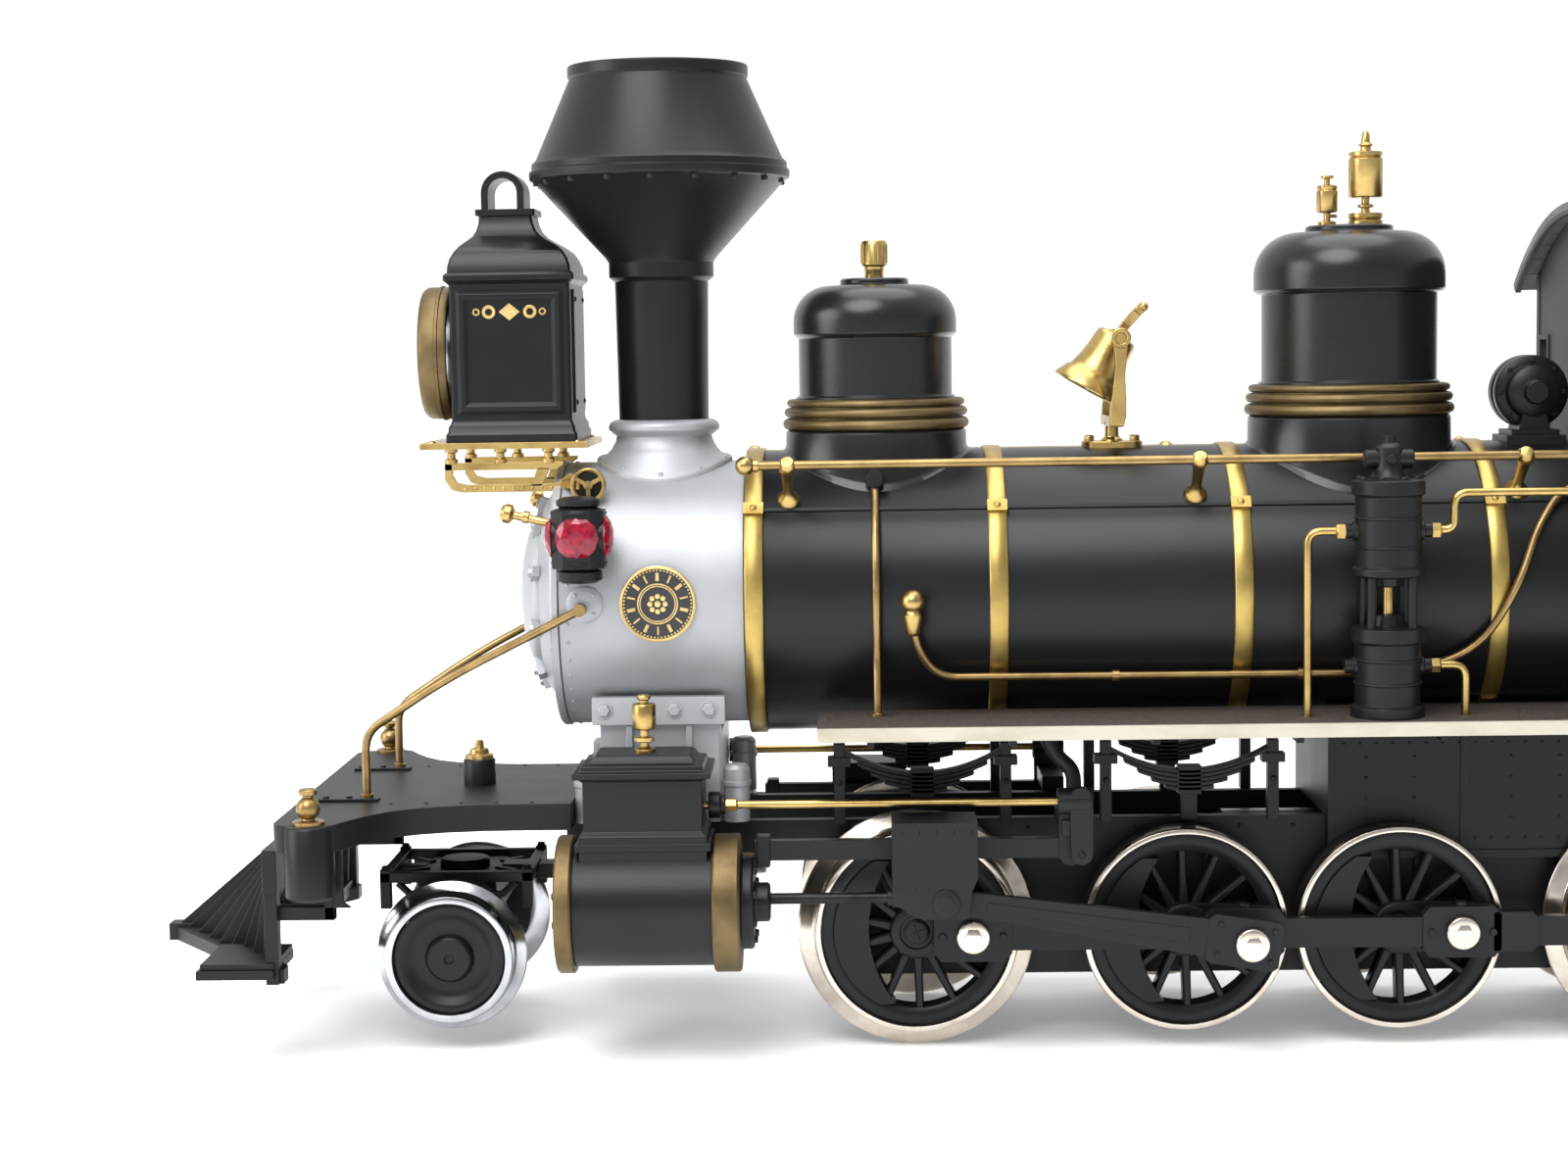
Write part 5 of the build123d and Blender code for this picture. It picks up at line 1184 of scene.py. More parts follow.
def pilot_deck():
    p = Piece("pilot_deck_plate")
    half = deck_outline()
    outline = half + [(x, -y) for x, y in reversed(half)]
    p.plate(outline, (44.6, 49.9), FRAME_BLACK, "XY")
    for side in (-1, 1):
        p.turn(
            [(0, 35.5), (4.2, 35.5), (4.8, 36.2), (4.8, 49.3), (4.4, 49.8), (0, 49.8)], BLACK,
            (-144.9, side * 46.2, 0), steps=56
        )
        y = side * 19.8
        p.block((-148.0, y - 1.5, 49.8), (-136.0, y + 1.5, 50.5), FRAME_BLACK)
        for x in (-146.6, -142.0):
            p.hex_bolt((x, y, 50.4), (0, 0, 1), 0.7, 0.5, FRAME_BLACK)
        for x in (-133, -126, -119, -112, -105):
            p.rivet((x, side * 24.0, 49.8), (0, 0, 1), 0.5, FRAME_BLACK)
        p.plate(
            [(-141.2, 44.8), (-139.4, 44.8), (-139.4, 34.0), (-137.9, 33.0), (-141.2, 33.0)],
            (side * 41.6, side * 43.0), FRAME_BLACK
        )
    p.turn([(3.3, 49.5), (3.3, 54.9), (3.0, 55.3), (0, 55.3)], BLACK, (-118.5, 0, 0), steps=40)
    p.finish("chassis", "pilot_deck", bevel=0.35, angle=40)


def pole_posts():
    """Turned ball posts at the corners and the cap of the centre post."""
    p = Piece("ball_posts_brass")
    post = [(0, 0), (3.1, 0), (3.1, 0.7), (2.6, 0.95), (1.3, 1.0), (1.2, 1.3)]
    post += [
        (2.3 * math.cos(math.radians(a)), 3.2 + 2.3 * math.sin(math.radians(a)))
        for a in range(-54, 58, 12)
    ]
    post += [(1.0, 5.4), (1.1, 5.7), (1.75, 5.9), (1.8, 6.7), (1.4, 7.0), (0, 7.0)]
    for side in (-1, 1):
        p.turn(post, PIPE_BRASS, (-144.9, side * 46.2, 49.75), steps=36)
    cap = [
        (2.9, 55.2), (2.9, 56.0), (2.1, 56.3), (1.9, 57.2), (1.0, 57.5), (1.0, 58.3), (0.8, 59.0),
        (0, 59.0)
    ]
    p.turn(cap, BRASS, (-118.5, 0, 0), steps=32)
    p.finish("chassis", "pole_posts", bevel=0.05, angle=40)


def cowcatcher():
    p = Piece("cowcatcher_slats")
    back = -153.4
    p.block((back - 1.4, -43.5, 36.0), (-152.0, 43.5, 44.4), FRAME_BLACK)
    for k in range(13):
        p.rivet((back - 1.35, -39 + 6.5 * k, 42.6), (-1, 0, 0), 0.55, FRAME_BLACK)
    nose = (-183.7, 0.0)
    corner = (back, 42.0)
    for side in (-1, 1):
        toe = [
            (nose[0], 0), (corner[0], side * corner[1]), (corner[0] + 2.0, side * corner[1]),
            (corner[0] + 2.0, side * (corner[1] - 4.2)), (nose[0] + 6.4, 0)
        ]
        p.plate(toe, (18.1, 20.9), FRAME_BLACK, "XY")
        slats = 8
        for k in range(slats):
            share = (k + 0.35) / slats
            foot = Vector(
                (
                    nose[0] + 3.6 + share * (corner[0] - nose[0] - 3.0), side * share * (corner[1] - 1.5),
                    20.0
                )
            )
            head = Vector((back - 0.4, side * (1.5 + share * 39.0), 43.0))
            p.bar(foot, head, 1.5, 2.6, FRAME_BLACK, (0, 1, 0))
        p.side_block(side, (back - 1.3, back + 1.2), (39.8, 43.0), (18.1, 44.3), FRAME_BLACK)
        for low, high, wide in ((19.4, 21.2, 0.0), (21.2, 22.4, -0.7)):
            step = [
                (-168.0 - wide, side * (25.0 - wide)), (-168.0 - wide, side * (44.4 + wide)),
                (-153.0, side * (44.4 + wide)), (-153.0, side * (25.0 - wide))
            ]
            p.plate(step, (low, high), FRAME_BLACK, "XY")
        y = span(side, 38.4, 40.8)
        p.block((back, y[0], 30.2), (-141.5, y[1], 32.8), FRAME_BLACK)
        p.block((-143.5, y[0], 30.2), (-141.5, y[1], 44.6), FRAME_BLACK)
    p.bar((nose[0] + 2.6, 0, 20.0), (back - 0.4, 0, 43.0), 2.0, 3.0, FRAME_BLACK, (0, 1, 0))
    p.block((nose[0], -2.2, 18.1), (nose[0] + 6.5, 2.2, 21.6), FRAME_BLACK)
    p.finish("chassis", "cowcatcher", bevel=0.18, angle=34)


def deck_stays():
    p = Piece("deck_stay_rods")
    for side in (-1, 1):
        route = [
            (-138.4, side * 19.8, 50.3), (-138.4, side * 19.8, 63.5), (-121.5, side * 23.9, 74.6),
            (-94.2, side * 29.0, 88.4)
        ]
        elbow = rounded_path(route[:3], 3.6, 8)
        sweep = rounded_path([elbow[-2]] + route[2:], 15.0, 10)
        p.tube(elbow[:-1] + sweep[1:], 0.85, PIPE_BRASS, 16)
        p.turn(
            [(1.3, 0), (1.3, 0.9), (0.9, 1.1), (0, 1.1)], PIPE_BRASS, (-138.4, side * 19.8, 50.3),
            steps=20
        )
        p.rod((-94.2, side * 27.2, 88.4), (-94.2, side * 29.9, 88.4), 1.25, PIPE_BRASS)
    p.finish("chassis", "deck_stays", bevel=0)


# ---- frame, springs, firebox ----------------------------------------------------------------------


def leaf_springs():
    p = Piece("leaf_spring_packs")
    for index in (0, 1):
        x = DRIVER_XS[index] + 1.6
        for side in (-1, 1):
            y0, y1 = side * 17.0, side * 20.5
            for leaf in range(5):
                reach = 15.6 - 2.7 * (4 - leaf)
                low = 50.2 + 0.85 * leaf
                outline = []
                for s in range(-10, 11):
                    t = s / 10 * reach
                    outline.append((x + t, low + 4.6 * (t / 15.6) ** 2 + 0.78))
                for s in range(10, -11, -1):
                    t = s / 10 * reach
                    outline.append((x + t, low + 4.6 * (t / 15.6) ** 2))
                p.plate(outline, (y0, y1), ROD_BLACK)
            p.block((x - 2.3, min(y0, y1), 49.4), (x + 2.3, max(y0, y1), 55.2), ROD_BLACK)
            p.side_block(side, (x - 1.6, x + 1.6), (17.3, 19.3), (44.2, 50.4), ROD_BLACK)
            for end in (-1, 1):
                h = x + end * 16.5
                p.side_block(side, (h - 1.1, h + 1.1), (17.4, 20.2), (44.2, 60.2), ROD_BLACK)
                p.side_block(side, (h - 2.3, h + 2.3), (17.1, 20.6), (55.7, 57.6), ROD_BLACK)
                p.hex_bolt((h, side * 18.8, 60.1), (0, 0, 1), 1.3, 1.0, ROD_BLACK)
                p.rivet((h, side * 20.2, 52.5), (0, side, 0), 0.6, ROD_BLACK)
    p.finish("chassis", "leaf_springs", bevel=0.12, angle=36)


def detail_on_frame():
    """Bolt heads, brake hangers and rivet lines that stand on the carried-over frame and firebox."""
    p = Piece("frame_rivets")
    for side in (-1, 1):
        for k in range(18):
            p.rivet((-38 + 10.5 * k, side * 16.45, 42.4), (0, side, 0), 0.5, FRAME_BLACK)
        for x in DRIVER_XS:
            p.side_block(side, (x - 6.5, x - 4.6), (16.4, 17.6), (15.5, 43.0), FRAME_BLACK)
            p.side_block(side, (x + 4.6, x + 6.5), (16.4, 17.6), (15.5, 43.0), FRAME_BLACK)
        fire_y = side * 19.55
        for row in (62.6, 59.0, 40.0):
            for k in range(29):
                p.rivet((55.5 + 3.25 * k, fire_y, row), (0, side, 0), 0.38, FRAME_BLACK)
        for column in range(5):
            for row in range(4):
                p.rivet((60 + 9.5 * column, fire_y, 44 + 4.1 * row), (0, side, 0), 0.38, FRAME_BLACK)
        p.plate(
            [(78.5, 36.4), (80.2, 36.4), (80.2, 63.6), (78.5, 63.6)], (fire_y, side * 19.9), FRAME_BLACK
        )
        p.block(
            (53.0, min(fire_y, side * 19.95), 36.1), (149.5, max(fire_y, side * 19.95), 37.7), FRAME_BLACK
        )
    p.finish("chassis", bevel=0.05, angle=36, slot="frame_black")


def running_boards():
    p = Piece("walkway_boards")
    for side in (-1, 1):
        y0, y1 = side * 20.2, side * 44.9
        p.block((board_low.x, min(y0, y1), 65.2), (board_high.x, max(y0, y1), 66.95), BOARD)
        p.side_block(side, (board_low.x, board_high.x), (44.8, 46.0), (64.3, 66.9), CREAM)
        p.block((board_low.x, min(y0, y1), 64.3), (board_low.x + 1.2, max(y0, y1), 66.9), BOARD)
        for k in range(6):
            x = -38 + 27 * k
            p.side_block(side, (x - 0.7, x + 0.7), (21, 44), (63.0, 65.3), FRAME_BLACK)
        for k in range(52):
            p.rivet((board_low.x + 3 + 4.3 * k, side * 43.4, 66.85), (0, 0, 1), 0.28, BOARD)
    p.finish("chassis", "running_boards", bevel=0.15)


# ---- pipes and pump -------------------------------------------------------------------------------


def skin_y(z, stand_off, side):
    return side * math.sqrt((BOILER_R + stand_off) ** 2 - (z - BOILER_Z) ** 2)


def boiler_pipes():
    p = Piece("sand_and_feed_pipes")
    for side in (-1, 1):
        x = SAND_X - 0.6
        route = [(x, skin_y(z, 1.1, side), z) for z in (112.4, 104, 95, 86, 78)]
        route += [(x, side * 29.1, 72.0), (x, side * 29.1, 66.9)]
        p.tube(rounded_path(route, 4.0), 0.8, PIPE_BRASS)
        p.turn(
            [(1.9, -1.4), (1.9, 1.3), (1.5, 1.7), (0, 1.7)], BOILER_BLACK, (x, side * 19.2, 112.6),
            (0, side, 0.25), 28
        )
        p.turn([(1.3, 0), (1.3, 0.6), (0.9, 0.9)], PIPE_BRASS, (x, side * 29.1, 66.9), steps=20)
        x = SAND_X + 6.4
        stops = [
            (x, 88.0), (x + 0.6, 80.0), (x + 5.0, 74.2), (68.0, 74.0), (80.0, 79.0), (87.0, 91.0),
            (91.5, 103.0), (98.0, 110.0), (108.1, 110.0)
        ]
        route = [(a, skin_y(z, 2.2, side), z) for a, z in stops]
        p.tube(rounded_path(route, 6.0), 0.8, PIPE_BRASS)
        top = Vector((x, skin_y(89.4, 2.2, side), 89.4))
        cup = [(1.0, -6.6), (1.5, -6.0), (1.9, -2.6), (1.5, -2.2), (1.4, -1.6)]
        cup += [
            (2.35 * math.cos(math.radians(a)), 2.35 * math.sin(math.radians(a)))
            for a in range(-52, 91, 13)
        ]
        p.turn(cup, BRASS, top, steps=32)
        for a, z in ((10.0, 74.1), (46.0, 74.05)):
            clip = Vector((a, skin_y(z, 2.2, side), z))
            p.turn([(1.15, -0.7), (1.15, 0.7)], PIPE_BRASS, clip, (1, 0, 0), 20)
    p.finish("chassis", "boiler_pipes", bevel=0.05, angle=40)


def air_pump():
    x, y = 60.75, -36.5
    p = Piece("air_pump_casting")
    lower = [
        (0, 67.0), (7.0, 67.0), (7.0, 68.9), (6.2, 69.3), (6.2, 80.9), (7.0, 81.4), (7.0, 83.9),
        (6.2, 84.2), (3.2, 84.3),
        (2.8, 86.4), (1.6, 86.6), (0, 86.6),
    ]
    upper = [
        (0, 91.6), (1.6, 91.6), (2.8, 91.9), (3.2, 93.4), (6.2, 93.6), (6.8, 94.0), (6.8, 95.3),
        (6.2, 95.7), (6.2, 108.9),
        (6.9, 109.4), (6.9, 111.9), (6.3, 112.2), (3.6, 112.6), (3.0, 113.4), (2.6, 114.6), (2.6, 118.2),
        (1.9, 118.9), (1.1, 119.2),
        (1.1, 120.4), (0, 120.4),
    ]
    p.turn(lower, BLACK, (x, y, 0), steps=56)
    p.turn(upper, BLACK, (x, y, 0), steps=56)
    for z in (73.0, 77.5, 99.0, 104.5):
        p.hoop([(6.1, z), (6.45, z + 0.2), (6.45, z + 0.6), (6.1, z + 0.8)], BLACK, (x, y, 0), steps=56)
    for k in range(4):
        a = math.radians(45 + 90 * k)
        p.rod(
            (x + 5.4 * math.cos(a), y + 5.4 * math.sin(a), 83.8),
            (x + 5.4 * math.cos(a), y + 5.4 * math.sin(a), 94.0), 0.9, BLACK
        )
    p.rod((x, y, 84.0), (x, y, 93.8), 0.95, BRASS)
    for k in range(8):
        a = math.radians(22.5 + 45 * k)
        for z in (112.0, 69.0):
            p.hex_bolt((x + 5.4 * math.cos(a), y + 5.4 * math.sin(a), z), (0, 0, 1), 0.7, 0.8, BLACK)
    for direction in (-1, 1):
        for z in (102.4, 76.6):
            p.turn(
                [(1.9, 5.2), (1.9, 6.6), (1.4, 6.8), (1.4, 8.2), (0, 8.3)], BLACK, (x, y, z),
                (direction, 0, 0), 24
            )
        p.turn(
            [(1.9, 0.4), (1.9, 4.4), (1.4, 4.7), (0, 4.7)], BLACK, (x, y, 116.0), (direction, 0, 0), 28
        )
    p.hex_bolt((x, y - 2.2, 116.0), (0, -1, 0), 1.1, 1.0, BLACK)
    for z in (100.0, 78.0):
        back = skin_y(z, -0.3, -1)
        p.block((x - 3.6, y + 4.0, z - 1.2), (x + 3.6, back, z + 1.2), BLACK)
    p.finish("chassis", "air_pump", bevel=0.12, angle=36)


def pump_pipes():
    p = Piece("pump_pipe_runs")
    x, y = 60.75, -36.5
    low = board_high.z - 0.1
    left, right = x - 8.2, x + 8.2
    routes = [
        [(left, y, 102.4), (left - 7.0, y, 102.4), (left - 7.0, y, low)],
        [(right, y, 76.6), (right + 6.6, y, 76.6), (right + 6.6, y, low)],
        [(right, y, 102.4), (right + 4.2, y, 102.4), (right + 4.2, y, 109.4), (108.1, y, 109.4)],
    ]
    for route in routes:
        p.tube(rounded_path(route, 2.6, 8), 0.8, BRASS)
        start, towards = Vector(route[0]), (Vector(route[1]) - Vector(route[0])).normalized()
        p.turn([(1.55, 0), (1.55, 1.5), (1.2, 1.8)], BRASS, start, towards, 6)
    p.finish("chassis", "pump_pipes", bevel=0.05, angle=40)


def handrails():
    p = Piece("handrail_rods")
    for side in (-1, 1):
        y = side * 28.5
        p.rod((smoke_high.x + 0.6, y, 116.0), (108.1, y, 116.0), 0.9, PIPE_BRASS, 24)
        end = Vector((smoke_high.x + 0.6, y, 116.0))
        p.ball(end, 1.9, BRASS)
        p.turn([(1.3, 1.6), (1.3, 2.6)], BRASS, end, (1, 0, 0), 20)
        for x in (-53.4, 26.2, 88.6):
            foot = Vector((x, 0, BOILER_Z)) + Vector((0, y, 116.0 - BOILER_Z)).normalized() * BOILER_R
            head = Vector((x, y, 116.0))
            out = (head - foot).normalized()
            length = (head - foot).length
            post = [
                (2.3, -0.3), (2.3, 0.5), (1.9, 1.1), (1.2, 2.0), (0.95, 3.2), (1.2, length - 2.0),
                (1.7, length - 0.9), (1.75, length + 0.4), (1.2, length + 1.2), (0, length + 1.4)
            ]
            p.turn(post, BRASS, foot, out, 28)
    p.finish("chassis", "handrails", bevel=0.04, angle=44)


# ---- headlight -------------------------------------------------------------------------------------


def squared(p, levels, centre, material):
    """A four-sided casting skinned through (half X, half Y, Z, shift X) levels, corners chamfered."""
    rings = []
    for half_x, half_y, z, slide in levels:
        c = 0.45
        ring = []
        for sx, sy in ((-1, -1), (1, -1), (1, 1), (-1, 1)):
            along_x = Vector((centre + slide + sx * (half_x - c), sy * half_y, z))
            along_y = Vector((centre + slide + sx * half_x, sy * (half_y - c), z))
            ring += [along_y, along_x] if sx == sy else [along_x, along_y]
        rings.append(ring)
    p.rings(rings, material)


def headlight_case():
    p = Piece("headlight_box")
    middle = (-120.6 - 96.2) / 2
    base = [
        (13.1, 15.0, 120.8, 0), (13.1, 15.0, 122.3, 0), (12.7, 14.6, 122.9, 0), (12.6, 14.5, 123.9, 0),
        (12.2, 14.1, 124.5, 0),
        (12.0, 13.9, 125.2, 0), (12.0, 13.9, 152.0, 0), (12.6, 14.5, 152.6, 0), (13.0, 14.9, 152.9, 0),
        (13.0, 14.9, 153.9, 0),
        (12.5, 14.4, 154.4, 0),
    ]
    squared(p, base, middle, LAMP_BLACK_AND_SHADE)
    roof = [
        (12.3, 14.2, 154.3, 0), (12.2, 14.0, 155.6, 0), (11.7, 13.4, 157.2, -0.1),
        (10.8, 12.4, 158.7, -0.2), (9.5, 11.0, 159.9, -0.5),
        (8.0, 9.3, 160.9, -0.8), (6.8, 7.9, 161.8, -1.0), (6.0, 6.9, 162.9, -1.2),
        (5.5, 6.3, 164.3, -1.3), (5.3, 6.1, 165.8, -1.4),
        (6.0, 6.6, 166.0, -1.4), (6.0, 6.6, 167.2, -1.4),
    ]
    squared(p, roof, middle, LAMP_BLACK_AND_SHADE)
    outer = [(-106.0, 166.8)] + arc(4.3, 0, 180, 20, (-110.3, 170.5)) + [(-114.6, 166.8)]
    inner = [(-113.2, 166.8)] + arc(2.9, 180, 0, 20, (-110.3, 170.5)) + [(-107.4, 166.8)]
    p.plate(outer + inner, (-5.6, 5.6), LAMP_BLACK_AND_SHADE)
    for side in (-1, 1):
        border = []
        for inset, level in ((0, 13.8), (0.9, 14.6), (1.7, 14.6), (2.6, 13.8), (0, 13.8)):
            low, high = (-119.2 + inset, 126.2 + inset), (-97.6 - inset, 151.0 - inset)
            corners = ((low[0], low[1]), (high[0], low[1]), (high[0], high[1]), (low[0], high[1]))
            border.append([Vector((a, side * level, b)) for a, b in corners])
        p.rings(border, LAMP_BLACK_AND_SHADE, close_ends=False)
        gilt_scroll(p, -108.4, 146.6, side)
    p.plate([(-9.6, 126.4), (9.6, 126.4), (9.6, 151.0), (-9.6, 151.0)], (-96.6, -95.9), LAMP_BLACK_AND_SHADE, "YZ")
    for y, z in ((-7.4, 128.4), (7.4, 128.4), (-7.4, 149.0), (7.4, 149.0)):
        p.rivet((-95.95, y, z), (1, 0, 0), 0.6, LAMP_BLACK_AND_SHADE)
    p.finish("chassis", "headlight_case", bevel=0.16, angle=30)


def gilt_scroll(p, x, z, side):
    """A small painted ornament in gilt: a lozenge with two rings of falling size on each side."""
    y = side * 13.88
    out = side * 14.02
    p.plate([(x - 2.1, z), (x, z + 1.7), (x + 2.1, z), (x, z - 1.7)], (y, out), GOLD)
    for way in (-1, 1):
        for radius, reach in ((1.35, 4.1), (0.75, 6.6)):
            ring = [
                (
                    x + way * reach + radius * math.cos(math.radians(a)),
                    z + radius * math.sin(math.radians(a))
                )
                for a in range(0, 360, 20)
            ]
            inner = [
                (
                    x + way * reach + radius * 0.52 * math.cos(math.radians(a)),
                    z + radius * 0.52 * math.sin(math.radians(a))
                )
                for a in range(0, 360, 20)
            ]
            for k in range(18):
                n = (k + 1) % 18
                p.plate([ring[k], ring[n], inner[n], inner[k]], (y, out), GOLD)


def headlight_front():
    p = Piece("headlight_bezel_drum")
    x = -120.6
    section = [
        (11.8, -0.9), (13.2, -0.9), (13.4, -1.3), (13.35, -5.6), (13.0, -6.2), (12.6, -6.6), (12.1, -6.5),
        (11.8, -6.1)
    ]
    p.hoop(section, DULL_BRASS, (x, 0, 138.6), (1, 0, 0), 96)
    p.hoop(
        [(13.3, -2.4), (13.65, -2.6), (13.65, -3.1), (13.3, -3.3)], DULL_BRASS, (x, 0, 138.6), (1, 0, 0),
        96
    )
    p.finish("chassis", "headlight_bezel", bevel=0.05, angle=40)
    lens = Piece("headlight_glass")
    profile = [(11.7, 4.0), (11.7, 4.5), (9.6, 4.9), (6.4, 5.2), (3.2, 5.35), (0, 5.4)]
    lens.turn([(0, 4.0)] + profile, GLASS, (x, 0, 138.6), (-1, 0, 0), 72)
    lens.finish("chassis", "headlight_lens", bevel=0, angle=40)
    bowl = Piece("headlight_reflector")
    shape = [(11.5, 3.6), (11.6, 3.4), (10.4, -0.5), (8.2, -4.6), (5.0, -7.6), (2.0, -8.9), (0, -9.1)]
    inside = [(0, -8.8), (2.0, -8.6), (4.8, -7.3), (7.9, -4.4), (10.1, -0.5), (11.2, 3.4)]
    bowl.hoop(shape[:-1] + inside[1:], CHROME, (x, 0, 138.6), (-1, 0, 0), 64)
    bowl.turn([(1.3, -9.2), (1.3, -4.4), (1.0, -3.6), (0, -3.4)], CREAM, (x, 0, 138.6), (-1, 0, 0), 24)
    bowl.finish("chassis", bevel=0, angle=50, slot="chrome")


def headlight_bracket():
    """Brass shelf and scrolled side frames with a pierced boss on each side. A black disc fills the boss's
    openings as painted shade.
    """
    p = Piece("headlight_shelf_brass")
    p.block((-126.7, -15.6, 119.5), (-93.2, 15.6, 120.75), BRASS)
    for x in (-124.4, -95.4):
        for y in (-14.2, 14.2):
            p.rivet((x, y, 120.7), (0, 0, 1), 0.8, BRASS)
    for side in (-1, 1):
        y0, y1 = side * 13.5, side * 14.9
        lower = [
            (-121.9, 116.6), (-121.9, 113.4), (-120.6, 111.4), (-118.6, 110.9), (-98.4, 110.9),
            (-96.0, 111.6), (-94.6, 112.6)
        ]
        upper = [
            (-94.6, 114.0), (-97.2, 114.4), (-99.6, 112.6), (-104.2, 112.4), (-117.6, 112.4),
            (-119.6, 112.9), (-120.4, 114.4), (-120.4, 116.6)
        ]
        p.plate(lower + upper, (y0, y1), BRASS)
        p.plate(
            [(-121.9, 115.3), (-99.6, 115.3), (-98.2, 116.2), (-98.2, 116.8), (-121.9, 116.8)], (y0, y1),
            BRASS
        )
        p.plate([(-104.8, 112.0), (-102.6, 112.0), (-101.0, 115.6), (-103.4, 115.6)], (y0, y1), BRASS)
        for x in (-120.6, -110.8, -101.2):
            p.turn(
                [(1.3, 0), (1.3, 0.8), (0.85, 1.1), (0.85, 2.0), (1.3, 2.3), (1.3, 3.0)], BRASS,
                (x, side * 14.2, 116.6), steps=20
            )
        for k in range(10):
            p.rivet((-117.8 + 1.9 * k, y1, 111.65), (0, side, 0), 0.3, BRASS)
        boss = Vector((-92.9, side * 18.0, 112.2))
        p.bar((-97.6, side * 14.2, 112.6), (-94.2, side * 18.9, 112.2), 1.5, 2.6, BRASS, (0, 0, 1))
        p.hoop(
            [(2.5, 0), (3.5, 0), (3.5, 1.9), (3.2, 2.2), (2.8, 2.1), (2.5, 1.6)], BRASS, boss,
            (0, side, 0), 40
        )
        # Painted shade: a black disc behind the spokes darkens the piercings of the boss.
        p.turn([(2.6, 0), (2.6, 1.2), (0, 1.2)], LAMP_BLACK_AND_SHADE, boss, (0, side, 0), 32)
        for k in range(3):
            a = math.radians(30 + 120 * k)
            tip = boss + Vector((2.7 * math.cos(a), side * 1.5, 2.7 * math.sin(a)))
            p.bar(boss + Vector((0, side * 1.5, 0)), tip, 0.9, 0.8, BRASS, (0, 1, 0))
        p.turn([(0.9, 1), (0.9, 2.1), (0, 2.2)], BRASS, boss, (0, side, 0), 18)
    p.finish("chassis", "headlight_bracket", bevel=0.12, angle=36)


def marker_lamps():
    p = Piece("marker_lamp_bodies")
    jewels = Piece("marker_lamp_jewels")
    x = -93.8
    for side in (-1, 1):
        y = side * 31.0
        body = [
            (0, 94.0), (3.4, 94.0), (4.4, 94.6), (4.4, 96.2), (3.6, 96.6), (4.8, 97.0), (5.2, 97.4),
            (5.2, 107.8), (4.8, 108.2), (3.6, 108.6), (4.3, 109.0), (4.3, 110.0), (3.0, 110.6), (0, 110.8)
        ]
        p.turn(body, BLACK, (x, y, 0), steps=40)
        eight = [
            (x + 5.75 * math.cos(math.radians(a)), y + 5.55 * math.sin(math.radians(a)))
            for a in (28, 62, 118, 152, 208, 242, 298, 332)
        ]
        p.plate(eight, (96.9, 108.1), BLACK, "XY")
        for direction, reach in (((0, side, 0), 4.6), ((-1, 0, 0), 5.0), ((1, 0, 0), 5.0)):
            centre = Vector((x, y, 102.9))
            p.turn([(0, 3.6), (3.9, 3.6), (3.9, reach), (0, reach)], BLACK, centre, direction, 40)
            cut_jewel(jewels, centre + Vector(direction) * (reach + 0.1), direction, 4.25)
        for z in (97.6, 107.2):
            p.hoop(
                [(5.1, z), (5.5, z + 0.15), (5.5, z + 0.45), (5.1, z + 0.6)], BLACK, (x, y, 0), steps=40
            )
        p.rod((x, side * 26.6, 100.5), (x, side * 27.2, 100.5), 2.2, BLACK)
        p.bar((x, side * 23.8, 101.4), (x, side * 28.0, 101.4), 3.4, 3.4, BLACK, (1, 0, 0))
        knob = Vector((-107.4, side * 25.6, 107.0))
        p.tube(
            [knob, Vector((-101.5, side * 25.8, 105.6)), Vector((-97.5, side * 27.6, 105.0))], 0.8, BRASS
        )
        p.turn(
            [(1.0, -0.4), (1.9, 0.2), (1.9, 1.4), (1.2, 2.2), (0, 2.3)], BRASS, knob, (-1, 0, 0.25), 24
        )
        p.turn([(1.2, 0), (1.2, 1.2)], BRASS, knob + Vector((2.2, 0, -0.4)), (1, 0, -0.2), 20)
    p.finish("chassis", "marker_lamps", bevel=0.08, angle=36)
    jewels.finish("chassis", "marker_jewels", bevel=0, angle=8)


def cut_jewel(p, at, out, radius):
    """A round jewel with two rows of flat facets and a flat table."""
    first, second = frame_of(out)
    out = Vector(out)
    rings = []
    for share, height, turn in ((1.0, 0.0, 0.0), (0.96, 0.35, 0.5), (0.70, 1.15, 0.0), (0.36, 1.6, 0.5)):
        ring = []
        for k in range(10):
            a = 2 * math.pi * (k + turn) / 10
            ring.append(at + (first * math.cos(a) + second * math.sin(a)) * radius * share + out * height)
        rings.append(ring)
    points = [v for ring in rings for v in ring]
    faces = []
    for r in range(3):
        offset = 1 if r % 2 else 0
        for k in range(10):
            a, b = r * 10 + k, r * 10 + (k + 1) % 10
            c = (r + 1) * 10 + k
            faces.append((a, b, c) if not offset else (a, b, (r + 1) * 10 + (k + 1) % 10))
            faces.append(
                (b, (r + 1) * 10 + (k + 1) % 10, c) if not offset else (a, (r + 1) * 10 + (k + 1) % 10, c)
            )
    faces.append(tuple(range(30, 40)))
    faces.append(tuple(reversed(range(10))))
    p.shell(points, faces, RED)


# ---- bell, generator, cab -------------------------------------------------------------------------


